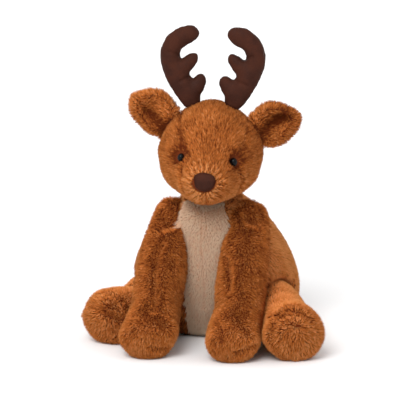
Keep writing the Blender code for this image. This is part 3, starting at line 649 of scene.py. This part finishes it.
    def build(self, name, slot_name, material, spots, tone):
        """Puts the locks in one mesh, with each one's tone and length laid out in its picture map."""
        count = len(spots)
        faces = ((0, 1, 3), (1, 2, 3), (2, 0, 3), (0, 2, 1))
        pattern = np.array([corner for face in faces for corner in face])
        loops = (pattern[None, :] + 4 * np.arange(count)[:, None]).ravel()
        mesh = bpy.data.meshes.new(name)
        mesh.vertices.add(count * 4)
        mesh.vertices.foreach_set("co", spots.ravel())
        mesh.loops.add(len(loops))
        mesh.loops.foreach_set("vertex_index", loops.astype(np.int32))
        mesh.polygons.add(count * len(faces))
        mesh.polygons.foreach_set("loop_start", np.arange(0, len(loops), 3, dtype=np.int32))
        mesh.update(calc_edges=True)
        across = np.array((-0.012, 0.012, 0.0, 0.0))[pattern]
        along = np.array((0.02, 0.02, 0.05, 0.98))[pattern]
        tones = (tone[:, None] + across[None, :]).ravel()
        picture = np.stack((tones, np.tile(along, count)), axis=1)
        mesh.uv_layers.new(name="OFBake").data.foreach_set("uv", picture.ravel())
        mesh.shade_smooth()
        thing = added(name, mesh)
        dress(thing, self.body, slot_name, material)
        return thing


def solids_off(body):
    """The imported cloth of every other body."""
    inside = ("filling", "washer", "pouch")
    names = [name for other in frame["bodies"] if other != body for name in body_nodes(other)]
    return [nodes[name].data for name in names if not any(word in name for word in inside)]


def body_nodes(body):
    return frame["record"]["behaviour"]["bodies"][body]


# Shared effects and materials


def new_group(name, inputs, outputs):
    group = bpy.data.node_groups.new(name, "ShaderNodeTree")
    for label, kind, value in inputs:
        socket = group.interface.new_socket(label, in_out="INPUT", socket_type="NodeSocket" + kind)
        if value is not None:
            socket.default_value = value
    for label, kind in outputs:
        group.interface.new_socket(label, in_out="OUTPUT", socket_type="NodeSocket" + kind)
    return group, group.nodes.new("NodeGroupInput"), group.nodes.new("NodeGroupOutput")


def mixed(tree, share, first, second):
    mix = tree.nodes.new("ShaderNodeMix")
    mix.data_type = "RGBA"
    for socket, value in ((mix.inputs["Factor"], share), (mix.inputs["A"], first), (mix.inputs["B"], second)):
        join(tree, value, socket)
    return mix.outputs["Result"]


def join(tree, value, socket):
    """Links a socket, or sets a plain value on it."""
    if isinstance(value, bpy.types.NodeSocket):
        tree.links.new(value, socket)
    elif value is not None:
        socket.default_value = value


def mapped(tree, value, low, high, to_low=0.0, to_high=1.0):
    node = tree.nodes.new("ShaderNodeMapRange")
    node.interpolation_type = "SMOOTHSTEP"
    for label, number in (
        ("Value", value),
        ("From Min", low),
        ("From Max", high),
        ("To Min", to_low),
        ("To Max", to_high),
    ):
        join(tree, number, node.inputs[label])
    return node.outputs["Result"]


def noise(tree, scale):
    place = tree.nodes.new("ShaderNodeTexCoord")
    node = tree.nodes.new("ShaderNodeTexNoise")
    tree.links.new(place.outputs["Object"], node.inputs["Vector"])
    node.inputs["Scale"].default_value = scale
    node.inputs["Detail"].default_value = 4.0
    node.inputs["Roughness"].default_value = 0.6
    return node.outputs["Fac"]


WHITE = (1, 1, 1, 1)


def pile_tint_group():
    """Colour of a lock from how dark it is and how far along it a point lies."""
    inputs = [("Tone", "Float", 0.5), ("Along", "Float", 0.5)]
    inputs += [(label, "Color", WHITE) for label in ("Root", "Dark", "Light", "Tip")]
    group, come, go = new_group("pile_tint", inputs, [("Colour", "Color")])
    middling = mapped(group, come.outputs["Tone"], 0.0, 0.7)
    shade = mixed(group, middling, come.outputs["Dark"], come.outputs["Light"])
    lightest = mapped(group, come.outputs["Tone"], 0.7, 1.0, 0.0, 0.9)
    shade = mixed(group, lightest, shade, come.outputs["Tip"])
    near_tip = mapped(group, come.outputs["Along"], 0.55, 1.0, 0.0, 0.5)
    tipped = mixed(group, near_tip, shade, come.outputs["Tip"])
    # a light tip only where the lock is light
    shaded = mixed(group, mapped(group, come.outputs["Tone"], 0.1, 0.7), shade, tipped)
    grown = mapped(group, come.outputs["Along"], 0.0, 0.5)
    group.links.new(mixed(group, grown, come.outputs["Root"], shaded), go.inputs["Colour"])
    return group


def cloth_group():
    """Blotches and fine grain of a cloth, as a colour, a roughness and a height."""
    inputs = [("Base", "Color", WHITE), ("Raised", "Color", WHITE)]
    inputs += [("Blotch Scale", "Float", 60.0), ("Grain Scale", "Float", 900.0)]
    outputs = [("Colour", "Color"), ("Roughness", "Float"), ("Height", "Float")]
    group, come, go = new_group("cloth_nap", inputs, outputs)
    place = group.nodes.new("ShaderNodeTexCoord")
    facts = []
    for label in ("Blotch Scale", "Grain Scale"):
        node = group.nodes.new("ShaderNodeTexNoise")
        node.inputs["Detail"].default_value = 5.0
        group.links.new(place.outputs["Object"], node.inputs["Vector"])
        group.links.new(come.outputs[label], node.inputs["Scale"])
        facts.append(node.outputs["Fac"])
    blotch = mapped(group, facts[0], 0.35, 0.72)
    grain = mapped(group, facts[1], 0.3, 0.7)
    both = group.nodes.new("ShaderNodeMath")
    both.operation = "MULTIPLY_ADD"
    group.links.new(grain, both.inputs[0])
    both.inputs[1].default_value = 0.35
    group.links.new(mapped(group, facts[0], 0.35, 0.72, 0.0, 0.65), both.inputs[2])
    colour = mixed(group, both.outputs[0], come.outputs["Base"], come.outputs["Raised"])
    group.links.new(colour, go.inputs["Colour"])
    group.links.new(mapped(group, blotch, 0.0, 1.0, 0.6, 0.8), go.inputs["Roughness"])
    group.links.new(grain, go.inputs["Height"])
    return group


def shared_group(name, maker):
    return bpy.data.node_groups.get(name) or maker()


def new_material(name):
    material = bpy.data.materials.new(name)
    material.use_nodes = True
    shader = material.node_tree.nodes["Principled BSDF"]
    return material, material.node_tree, shader


def placed_group(tree, group, **values):
    node = tree.nodes.new("ShaderNodeGroup")
    node.node_tree = group
    for label, value in values.items():
        join(tree, value, node.inputs[label.replace("_", " ")])
    return node


def pile_material(name, root, dark, light, tip):
    made = bpy.data.materials.get(name)
    if made:
        return made
    material, tree, shader = new_material(name)
    picture = tree.nodes.new("ShaderNodeUVMap")
    picture.uv_map = "OFBake"
    parts = tree.nodes.new("ShaderNodeSeparateXYZ")
    tree.links.new(picture.outputs["UV"], parts.inputs["Vector"])
    tint = placed_group(
        tree,
        shared_group("pile_tint", pile_tint_group),
        Tone=parts.outputs["X"],
        Along=parts.outputs["Y"],
        Root=root,
        Dark=dark,
        Light=light,
        Tip=tip,
    )
    tree.links.new(tint.outputs["Colour"], shader.inputs["Base Color"])
    shader.inputs["Roughness"].default_value = 0.8
    shader.inputs["Specular IOR Level"].default_value = 0.08
    return material


def cloth_material(name, base, raised, blotch=60.0, grain=900.0, bump=0.25, sheen=0.1, specular=0.1):
    made = bpy.data.materials.get(name)
    if made:
        return made
    material, tree, shader = new_material(name)
    nap = placed_group(
        tree,
        shared_group("cloth_nap", cloth_group),
        Base=base,
        Raised=raised,
        Blotch_Scale=blotch,
        Grain_Scale=grain,
    )
    tree.links.new(nap.outputs["Colour"], shader.inputs["Base Color"])
    tree.links.new(nap.outputs["Roughness"], shader.inputs["Roughness"])
    relief = tree.nodes.new("ShaderNodeBump")
    relief.inputs["Strength"].default_value = bump
    relief.inputs["Distance"].default_value = 0.2 * MM
    tree.links.new(nap.outputs["Height"], relief.inputs["Height"])
    tree.links.new(relief.outputs["Normal"], shader.inputs["Normal"])
    shader.inputs["Sheen Weight"].default_value = sheen
    shader.inputs["Sheen Roughness"].default_value = 0.4
    shader.inputs["Sheen Tint"].default_value = raised
    shader.inputs["Specular IOR Level"].default_value = specular
    return material


def moulded_material(name, colour, roughness, marks=0.1):
    material, tree, shader = new_material(name)
    shader.inputs["Base Color"].default_value = colour
    tree.links.new(
        mapped(tree, noise(tree, 300.0), 0.3, 0.7, roughness, roughness + marks), shader.inputs["Roughness"]
    )
    return material


def rust_pile():
    hue = bpy.context.scene.plush_colours
    return pile_material("rust_plush_pile", hue.rust_root, hue.rust_dark, hue.rust_light, hue.rust_tip)


def cream_pile():
    hue = bpy.context.scene.plush_colours
    return pile_material("cream_plush_pile", hue.cream_root, hue.cream_dark, hue.cream_light, hue.cream_tip)


def rust_backing():
    hue = bpy.context.scene.plush_colours
    return cloth_material("rust_plush_backing", hue.rust_root, hue.rust_dark)


def cream_backing():
    hue = bpy.context.scene.plush_colours
    return cloth_material("cream_plush_backing", hue.cream_root, hue.cream_dark)


def suedette():
    hue = bpy.context.scene.plush_colours
    return cloth_material(
        "brown_suedette_nap",
        hue.suedette,
        hue.suedette_worn,
        blotch=70.0,
        grain=1400.0,
        bump=0.3,
        sheen=0.25,
        specular=0.12,
    )


# Pieces


def panel_half_width(heights):
    """Half width of the cream panel at the given heights."""
    levels, widths = zip(*PANEL)
    return np.interp(heights, np.array(levels) * MM, np.array(widths) * MM)


def in_panel(spots, edge=0.0):
    """Where the cream panel shows: the toy's left arm draws the rust cloth over its upper edge."""
    drawn_over = np.interp(spots[:, 2], (0.085, 0.105), (1.0, 0.68))
    share = np.where(spots[:, 0] > 0, drawn_over, 1.0)
    inside = np.abs(spots[:, 0]) < panel_half_width(spots[:, 2]) * share + edge
    return inside & (spots[:, 1] < PANEL_FRONT) & (spots[:, 2] < 144 * MM)


def eye_centre(side):
    """Where a bead eye sits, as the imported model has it, and the way that it looks."""
    out = EYES_IN_HEAD[side]
    turn = HEAD.to_3x3()
    look_way = (turn @ out).normalized()
    return HEAD @ out - look_way * 1.2 * MM, look_way


class PLUSH_OT_body(bpy.types.Operator):
    """Sews the body with its cream belly panel"""

    bl_idname = "plush.body"
    bl_label = "Body"

    def execute(self, context):
        sizes = context.scene.plush_sizes
        solids = ["body_cover", "belly_panel", "body_filling", "pellet_pouch"]
        skin = stuffed_skin("body_skin", solids, sizes.cloth, give=sizes.give)
        seam = seen_on(skin, BELLY_SEAM)
        press(skin, seam, sizes.seam_depth * 0.7, sizes.seam_width)
        dress(skin, "body", "rust_plush", rust_backing(), "body_cover", "belly_panel", "body_filling")
        skin.data.materials.append(cream_backing())
        centres = np.array([tuple(face.center) for face in skin.data.polygons])
        skin.data.polygons.foreach_set("material_index", in_panel(centres).astype(np.int32))
        # the high tone is partly the flank's sheen, painted into the pile's colour
        pile = Pile(skin, "body", sizes, tone=0.93)
        x = pile.roots[:, 0]
        count = len(x)
        down = np.stack((x * 4.0, np.full(count, 0.05), np.full(count, -1.0)), axis=1)
        pile.lie(down)
        pile.swirl(30 * MM, 0.3)
        # painted shade in the belly's centre seam
        pile.part(seam, sizes.seam_width * 0.5, splay=0.6, painted_shade=0.9, shorten=0.3, bare=0.2 * MM)
        pile.sit()
        pile.pressed_by(solids_off("body"))
        wobble = 1.2 * MM * waves(pile.roots, 7 * MM, 21)
        cream = in_panel(pile.roots, wobble)
        # the rust cloth beside the panel lies in the arms' shade
        shaded = ~cream & (pile.up[:, 1] < -0.2) & (np.abs(x) < 45 * MM)
        pile.tone -= 0.6 * shaded * np.exp(-((pile.roots[:, 2] / (60 * MM)) ** 2))
        pile.grow("belly_pile", "cream_plush", cream_pile(), cream)
        for label, side in SIDES.items():
            half = ~cream & (x * side >= 0)
            ahead = pile.roots[:, 1] < 0
            pile.grow("body_pile_front_" + label, "rust_plush", rust_pile(), half & ahead)
            pile.grow("body_pile_back_" + label, "rust_plush", rust_pile(), half & ~ahead)
        return {"FINISHED"}


class PLUSH_OT_neck(bpy.types.Operator):
    """Fills the neck between the body and the head"""

    bl_idname = "plush.neck"
    bl_label = "Neck"

    def execute(self, context):
        sizes = context.scene.plush_sizes
        skin = stuffed_skin("neck_skin", ["neck_filling"], sizes.suedette, shrink=-9 * MM)
        spots = coordinates(skin.data)
        # flat in front, where the chin hides it
        middle = (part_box("neck_filling")[0].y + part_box("neck_filling")[1].y) / 2
        spots[:, 1] = np.where(spots[:, 1] < middle, middle + (spots[:, 1] - middle) * 0.5, spots[:, 1])
        move_to(skin.data, spots)
        dress(skin, "neck", "white_filling", rust_backing(), "neck_filling")
        pile = Pile(skin, "neck", sizes, tone=0.6, length=1.3)
        pile.lie(np.tile((0, 0.2, -1), (len(pile.roots), 1)))
        pile.press_flat(pile.roots[:, 1] < middle)
        pile.pressed_by(solids_off("neck"))
        pile.grow("neck_pile", "rust_plush", rust_pile())
        return {"FINISHED"}


class PLUSH_OT_head(bpy.types.Operator):
    """Sews the head, with its gusset seams and the pile laid out from the nose and eyes"""

    bl_idname = "plush.head"
    bl_label = "Head"

    def execute(self, context):
        sizes = context.scene.plush_sizes
        solids = ["head_cover", "head_filling", "eye_washer_left", "eye_washer_right"]
        skin = stuffed_skin("head_skin", solids, sizes.cloth, give=sizes.give * 0.5)
        nose = HEAD @ NOSE_IN_HEAD
        for place, shift, reach in HEAD_PULLS:
            pull(skin, place, shift, reach)
        for side in SIDES.values():
            press(skin, [np.array(eye_centre(side)[0])], 3.6 * MM, 7 * MM)
        brows = [seen_on(skin, line) for line in BROW_SEAMS]
        muzzle = [seen_on(skin, line) for line in MUZZLE_SEAMS]
        lip = seen_on(skin, LIP_SEAM)
        for line, depth in ((brows[0], 1.0), (brows[1], 0.5), (muzzle[0], 2.1), (muzzle[1], 2.3), (lip, 1.5)):
            press(skin, line, sizes.seam_depth * depth * 1.2, sizes.seam_width * 0.9)
        dress(skin, "head", "caramel_plush", rust_backing(), "head_cover", "head_filling")
        pile = Pile(skin, "head", sizes, tone=0.55, density=1.1, length=0.85)
        away = pile.roots - np.array(nose)
        away[:, 2] += 0.01
        pile.lie(away)
        pile.swirl(18 * MM, 0.3)
        # painted shade in the brow and muzzle seams
        for line, strength in ((brows[0], 0.9), (brows[1], 0.25), (muzzle[0], 1.1), (muzzle[1], 1.1)):
            pile.part(line, sizes.seam_width * 0.9, splay=0.8 * strength, painted_shade=0.8 * strength, shorten=0.5)
        # painted shade in the hollow round each sunk eye
        for side in SIDES.values():
            outside = np.array(eye_centre(side)[0]) + (side * 2.0 * MM, 0, 1.5 * MM)
            pile.radiate(outside, 9.5 * MM, painted_shade=0.65, shorten=0.3, flatten=0.3)
            pile.radiate(eye_centre(side)[0], 6.5 * MM, painted_shade=0.15, shorten=0.4, power=4)
        # painted highlight: the muzzle is painted lighter round the nose, for the light on its puffs
        pile.radiate(nose, 17 * MM, painted_shade=-0.32, shorten=0.15, flatten=0.2, power=6)
        below = (eye_centre(1)[0].z - pile.roots[:, 2]) / (22 * MM)
        pile.tone += 0.12 * np.clip(below, 0, 1)
        # painted shade in the seam under the nose
        pile.part(lip, sizes.seam_width * 0.8, splay=0.6, painted_shade=0.8)
        self.tuft(pile, nose, 19 * MM, 19, 0.4)
        for side in SIDES.values():
            self.tuft(pile, eye_centre(side)[0], 10 * MM, 13, 0.25)
        pile.clear_of([nodes["eye_" + label].data for label in SIDES])
        pile.pressed_by(solids_off("head"))
        distance = np.linalg.norm((pile.roots - np.array(nose)) * (0.85, 0.5, 1.05), axis=1)
        pile.keep &= distance > 9.5 * MM
        for label, side in SIDES.items():
            pile.grow("head_pile_" + label, "caramel_plush", rust_pile(), pile.roots[:, 0] * side >= 0)
        return {"FINISHED"}

    def tuft(self, pile, centre, reach, number, amount):
        """Tufts painted light, with painted shade in the partings between and longer locks on the tufts, like
        rays round the nose or an eye.
        """
        apart = (pile.roots - np.array(centre)) @ np.array(HEAD.to_3x3())
        angle = np.arctan2(apart[:, 0], apart[:, 2])
        near = np.exp(-((np.linalg.norm(apart, axis=1) / reach) ** 4))
        ray = np.sin(number * angle + 1.5 * waves(pile.roots, 9 * MM, 51))
        pile.tone += amount * near * ray
        pile.length *= 1 + 0.2 * near * ray


class PLUSH_OT_face(bpy.types.Operator):
    """Sets the bead eyes and the suedette nose"""

    bl_idname = "plush.face"
    bl_label = "Eyes and nose"

    def execute(self, context):
        hue = context.scene.plush_colours
        gloss = moulded_material("black_bead_gloss", hue.bead, 0.05, 0.03)
        gloss.node_tree.nodes["Principled BSDF"].inputs["Specular IOR Level"].default_value = 0.14
        for label, side in SIDES.items():
            centre, way = eye_centre(side)
            self.bead("bead_eye_" + label, "eye_" + label, centre + way * 1.0 * MM, way, gloss)
        self.nose()
        return {"FINISHED"}

    def bead(self, name, node_name, centre, way, material):
        """A domed bead, a little taller than wide, sunk in the pile."""
        made = bmesh.new()
        bmesh.ops.create_uvsphere(made, u_segments=48, v_segments=24, radius=1.0)
        size = Matrix.Diagonal((3.8 * MM, 4.6 * MM, 4.1 * MM, 1.0))
        turn = way.to_track_quat("Z", "Y").to_matrix().to_4x4()
        made.transform(Matrix.Translation(centre) @ turn @ size)
        mesh = mesh_from(name, made)
        mesh.shade_smooth()
        thing = added(name, mesh)
        dress(thing, "head", "black_bead", material, node_name)

    def nose(self):
        """A stuffed cushion, wider above than below, sewn down round its edge."""
        made = bmesh.new()
        bmesh.ops.create_uvsphere(made, u_segments=64, v_segments=32, radius=1.0)
        for vertex in made.verts:
            spot = vertex.co
            wide = 1 + 0.20 * spot.z - 0.10 * spot.z * spot.z
            square = 1 / max((abs(spot.x) ** 2.6 + abs(spot.z) ** 2.6 + abs(spot.y) ** 2.6) ** (1 / 2.6), 0.5)
            dent = 0.10 * math.exp(-((spot.x / 0.10) ** 2)) * max(spot.z - 0.2, 0) * max(-spot.y, 0)
            vertex.co = Vector((spot.x * wide, spot.y + dent, spot.z)) * square
        size = Matrix.Diagonal((11.2 * MM, 7.2 * MM, 9.4 * MM, 1.0))
        made.transform(HEAD @ Matrix.Translation(NOSE_IN_HEAD + Vector((0, -0.6 * MM, 0.6 * MM))) @ size)
        mesh = mesh_from("nose_cushion", made)
        mesh.shade_smooth()
        thing = added("nose_cushion", mesh)
        spots = coordinates(mesh)
        ripple = 0.12 * MM * waves(spots, 5 * MM, 31)
        spots += vertex_normals(mesh) * ripple[:, None]
        mesh.vertices.foreach_set("co", spots.ravel())
        dress(thing, "head", "brown_suedette", suedette(), "nose")


class PLUSH_OT_ears(bpy.types.Operator):
    """Sews the two cupped ears"""

    bl_idname = "plush.ears"
    bl_label = "Ears"

    def execute(self, context):
        sizes = context.scene.plush_sizes
        for label, side in SIDES.items():
            names = ["ear_back_" + label, "ear_lining_" + label]
            skin = stuffed_skin("ear_skin_" + label, names, sizes.suedette * 0.6, settle=6)
            for place, shift, reach in EAR_PULLS[side]:
                pull(skin, place, shift, reach)
            crease = seen_on(skin, EAR_CREASES[side])
            press(skin, crease, 3.2 * MM, 6 * MM)
            dress(skin, "ear_" + label, "rust_plush", rust_backing(), *names)
            pile = Pile(skin, "ear_" + label, sizes, tone=0.6, density=1.1, length=0.9)
            pile.lie(pile.roots - hinge_place("ear_flop_" + label) + np.array((0, 0.01, 0)))
            pile.swirl(12 * MM, 0.4)
            # painted shade in the cup's hollow, along the crease
            pile.part(crease, 8 * MM, splay=0.5, painted_shade=0.8, shorten=0.3)
            pile.pressed_by(solids_off("ear_" + label))
            pile.grow("ear_pile_" + label, "rust_plush", rust_pile())
        return {"FINISHED"}


class PLUSH_OT_antlers(bpy.types.Operator):
    """Sews the two suedette antlers"""

    bl_idname = "plush.antlers"
    bl_label = "Antlers"

    def execute(self, context):
        sizes = context.scene.plush_sizes
        for label, side in SIDES.items():
            names = ["antler_cover_" + label, "antler_filling_" + label]
            skin = stuffed_skin(
                "antler_skin_" + label,
                names,
                sizes.suedette,
                settle=26,
                shrink=-2.8 * MM,
                give=sizes.give * 0.5,
            )
            for place, shift, reach in ANTLER_PULLS[side]:
                pull(skin, place, shift, reach)
            for line in ANTLER_PUCKERS[side]:
                press(skin, seen_on(skin, line), sizes.seam_depth * 0.8, sizes.seam_width * 0.55)
            spots = coordinates(skin.data)
            ways = vertex_normals(skin.data)
            turned = ways @ np.array(HEAD.to_3x3())
            edge = np.exp(-((turned[:, 1] / 0.22) ** 2))
            ripple = 0.22 * MM * waves(spots, 7 * MM, 41) * (0.4 + edge)
            spots += ways * (ripple - 0.45 * MM * edge)[:, None]
            move_to(skin.data, spots)
            dress(skin, "antler_" + label, "brown_suedette", suedette(), *names)
        return {"FINISHED"}


class PLUSH_OT_front_legs(bpy.types.Operator):
    """Sews the two front legs, creased down the front into the paws"""

    bl_idname = "plush.front_legs"
    bl_label = "Front legs"

    def execute(self, context):
        sizes = context.scene.plush_sizes
        for label, side in SIDES.items():
            names = ["front_leg_cover_" + label, "front_leg_filling_" + label]
            skin = stuffed_skin("front_leg_skin_" + label, names, sizes.cloth, give=sizes.give)
            for place, shift, reach in ARM_PULLS[side]:
                pull(skin, place, shift, reach)
            crease = seen_on(skin, ARM_CREASES[side])
            folds = [seen_on(skin, line) for line in (*PAW_FOLDS[side], SHOULDER_SEAMS[side])]
            press(skin, crease, sizes.seam_depth * 2.8, sizes.seam_width * 1.1)
            for line in folds:
                press(skin, line, sizes.seam_depth, sizes.seam_width)
            body = "front_leg_" + label
            dress(skin, body, "rust_plush", rust_backing(), *names)
            pile = Pile(skin, body, sizes, tone=0.52)
            count = len(pile.roots)
            pile.lie(np.tile((0.0, -0.55, -0.8), (count, 1)))
            pile.swirl(22 * MM, 0.4)
            low = np.clip((0.05 - pile.roots[:, 2]) / 0.03, 0, 1)
            pile.tone += 0.2 * low
            # painted shade in the front crease and, fainter, in the paw folds and shoulder seam
            pile.part(crease, sizes.seam_width * 0.8, splay=0.8, painted_shade=0.9, shorten=0.45, bare=0.8 * MM)
            for line in folds:
                pile.part(line, sizes.seam_width, painted_shade=0.3)
            pile.sit()
            pile.pressed_by(solids_off(body))
            paw = pile.roots[:, 2] < 62 * MM
            pile.grow("front_leg_pile_" + label, "rust_plush", rust_pile(), ~paw)
            pile.grow("paw_pile_" + label, "rust_plush", rust_pile(), paw)
        return {"FINISHED"}


class PLUSH_OT_hind_legs(bpy.types.Operator):
    """Sews the two hind legs and their round soles"""

    bl_idname = "plush.hind_legs"
    bl_label = "Hind legs"

    def execute(self, context):
        sizes = context.scene.plush_sizes
        for label, side in SIDES.items():
            names = ["hind_leg_cover_" + label, "hind_leg_filling_" + label, "foot_sole_" + label]
            skin = stuffed_skin("hind_leg_skin_" + label, names, sizes.cloth, give=sizes.give)
            for place, shift, reach in LEG_PULLS[side]:
                pull(skin, place, shift, reach)
            low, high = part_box("foot_sole_" + label)
            centre = np.array((low + high) / 2)
            along = centre - hinge_place("hip_spread_" + label)
            along[2] = 0
            along /= np.linalg.norm(along)
            across = np.cross(along, (0, 0, 1))
            rim = self.ring(skin, centre, across, (high - low).z / 2 * 1.02)
            arch = seen_on(skin, FOOT_CREASES[side])
            press(skin, rim, sizes.seam_depth, sizes.seam_width)
            press(skin, arch, sizes.seam_depth * 2.2, sizes.seam_width)
            body = "hind_leg_" + label
            dress(skin, body, "rust_plush", rust_backing(), *names)
            pile = Pile(skin, body, sizes, tone=0.71)
            pile.lie(np.tile(along + np.array((0, 0, -0.35)), (len(pile.roots), 1)))
            facing = (pile.up @ along) > 0.6
            out = pile.roots - centre
            pile.comb[facing] = unit(out[facing] - np.array((0, 0, 0.01)))
            pile.lean[facing] -= 0.15
            pile.tone[facing] += 0.06
            # the thigh is painted as light as the flank that it lies against, whose lightness is partly
            # painted sheen
            behind = (centre - pile.roots) @ along
            pile.tone += 0.2 * np.clip((behind - 20 * MM) / (30 * MM), 0, 1)
            pile.swirl(20 * MM, 0.4)
            # painted shade, faint in the sole's seam and deep in the arch crease
            pile.part(rim, sizes.seam_width, splay=0.5, painted_shade=0.2, shorten=0.2)
            pile.part(arch, sizes.seam_width * 1.1, splay=0.9, painted_shade=1.0, shorten=0.5, bare=1.0 * MM)
            pile.sit()
            pile.pressed_by(solids_off(body))
            foot = behind < 30 * MM
            pile.grow("hind_leg_pile_" + label, "rust_plush", rust_pile(), ~foot)
            pile.grow("foot_pile_" + label, "rust_plush", rust_pile(), foot)
        return {"FINISHED"}

    def ring(self, skin, centre, across, radius, steps=60):
        """The sole's seam, as points on the skin round the sole's middle."""
        tree = tree_of(skin.data)
        spots = []
        for step in range(steps):
            angle = math.tau * step / steps
            out = Vector(across) * math.cos(angle) + Vector((0, 0, 1)) * math.sin(angle)
            spots.append(tuple(tree.find_nearest(Vector(centre) + out * radius)[0]))
        return np.array(spots)


class PLUSH_OT_tail(bpy.types.Operator):
    """Sews the short tail"""

    bl_idname = "plush.tail"
    bl_label = "Tail"

    def execute(self, context):
        sizes = context.scene.plush_sizes
        skin = stuffed_skin("tail_skin", ["tail"], sizes.suedette, give=sizes.give * 0.5)
        dress(skin, "tail", "rust_plush", rust_backing(), "tail")
        pile = Pile(skin, "tail", sizes, tone=0.6)
        pile.lie(pile.roots - hinge_place("tail_wag"))
        pile.pressed_by(solids_off("tail"))
        pile.grow("tail_pile", "rust_plush", rust_pile())
        return {"FINISHED"}


class PLUSH_OT_inside(bpy.types.Operator):
    """Finishes the pieces inside: the pellet pouch and the washers behind the eyes"""

    bl_idname = "plush.inside"
    bl_label = "Inside pieces"

    def execute(self, context):
        hue = context.scene.plush_colours
        linen = cloth_material("linen_pouch_weave", hue.linen, hue.cream_light, grain=1800.0, bump=0.5)
        plastic = moulded_material("white_washer_moulded", hue.washer, 0.4)
        for name, material in (
            ("pellet_pouch", linen),
            ("eye_washer_left", plastic),
            ("eye_washer_right", plastic),
        ):
            for slot in nodes[name].material_slots:
                slot.material = material
        return {"FINISHED"}


class PLUSH_OT_studio(bpy.types.Operator):
    """Lays the pale floor and sets the soft lights and the camera"""

    bl_idname = "plush.studio"
    bl_label = "Studio"

    def execute(self, context):
        place = context.scene.studio_place
        self.floor(context.scene.plush_colours.floor)
        self.sky(place.sky)
        self.lamp("key_light", (-0.2, -1.0, 1.0), math.radians(32), place.key)
        self.camera(context.scene, place)
        context.scene.view_settings.view_transform = "Standard"
        return {"FINISHED"}

    def floor(self, colour):
        made = bmesh.new()
        bmesh.ops.create_circle(made, cap_ends=True, radius=6.0, segments=96)
        mesh = mesh_from("floor", made)
        thing = added("floor", mesh)
        material, tree, shader = new_material("pale_floor")
        tree.links.new(mixed(tree, self.seen_directly(tree), colour, WHITE), shader.inputs["Base Color"])
        shader.inputs["Roughness"].default_value = 0.9
        shader.inputs["Specular IOR Level"].default_value = 0.1
        mesh.materials.append(material)

    def sky(self, strength):
        """Even light, that the camera and clear reflections see as white."""
        world = bpy.data.worlds.new("white_studio")
        bpy.context.scene.world = world
        world.use_nodes = True
        tree = world.node_tree
        lit = tree.nodes.new("ShaderNodeMapRange")
        tree.links.new(self.seen_directly(tree), lit.inputs["Value"])
        lit.inputs["To Min"].default_value = strength
        lit.inputs["To Max"].default_value = 1.0
        back = tree.nodes["Background"]
        back.inputs["Color"].default_value = (1, 1, 1, 1)
        tree.links.new(lit.outputs["Result"], back.inputs["Strength"])

    def seen_directly(self, tree):
        """1 for what the camera sees straight, in a reflection or through clear stuff."""
        path = tree.nodes.new("ShaderNodeLightPath")
        total = path.outputs["Is Camera Ray"]
        for name in ("Is Glossy Ray", "Is Transmission Ray"):
            more = tree.nodes.new("ShaderNodeMath")
            more.operation = "MAXIMUM"
            tree.links.new(total, more.inputs[0])
            tree.links.new(path.outputs[name], more.inputs[1])
            total = more.outputs[0]
        return total

    def lamp(self, name, spot, breadth, strength):
        """A far light in the direction of a spot, as soft as it is broad."""
        light = bpy.data.lights.new(name, "SUN")
        light.angle = breadth
        light.energy = strength
        thing = added(name, light)
        thing.location = spot
        thing.rotation_euler = (-Vector(spot)).to_track_quat("-Z", "Y").to_euler()

    def camera(self, scene, place):
        right, up, back, middle = look()
        lens = bpy.data.cameras.new("camera")
        thing = added("camera", lens)
        spot = middle + back * place.distance
        rows = [(right[i], up[i], back[i], spot[i]) for i in range(3)]
        thing.matrix_world = Matrix((*rows, (0, 0, 0, 1)))
        lens.sensor_width = 36
        lens.lens = 36 * place.distance / (400 * place.pixel)
        lens.clip_end = 50
        scene.camera = thing


class PLUSH_PT_reindeer(bpy.types.Panel):
    """Lists the reindeer's sizes, colours and pieces"""

    bl_idname = "PLUSH_PT_reindeer"
    bl_label = "Plush reindeer"
    bl_space_type = "VIEW_3D"
    bl_region_type = "UI"
    bl_category = "Reindeer"

    def draw(self, context):
        column = self.layout.column()
        for group in (context.scene.plush_sizes, context.scene.plush_colours, context.scene.studio_place):
            for name in group.__annotations__:
                column.prop(group, name)
        for operator in OPERATORS:
            column.operator(operator.bl_idname)


OPERATORS = (
    PLUSH_OT_body,
    PLUSH_OT_neck,
    PLUSH_OT_head,
    PLUSH_OT_face,
    PLUSH_OT_ears,
    PLUSH_OT_antlers,
    PLUSH_OT_front_legs,
    PLUSH_OT_hind_legs,
    PLUSH_OT_tail,
    PLUSH_OT_inside,
    PLUSH_OT_studio,
)
GROUPS = {"plush_sizes": PlushSizes, "plush_colours": PlushColours, "studio_place": StudioPlace}


def register():
    for group in (*GROUPS.values(), *OPERATORS, PLUSH_PT_reindeer):
        bpy.utils.register_class(group)
    for name, group in GROUPS.items():
        setattr(bpy.types.Scene, name, PointerProperty(type=group))


def unregister():
    for name in GROUPS:
        delattr(bpy.types.Scene, name)
    for group in (PLUSH_PT_reindeer, *reversed(OPERATORS), *reversed(tuple(GROUPS.values()))):
        bpy.utils.unregister_class(group)


def main():
    register()
    for operator in OPERATORS:
        group, name = operator.bl_idname.split(".")
        getattr(getattr(bpy.ops, group), name)()
    bpy.context.view_layer.update()


if __name__ == "__main__":
    main()
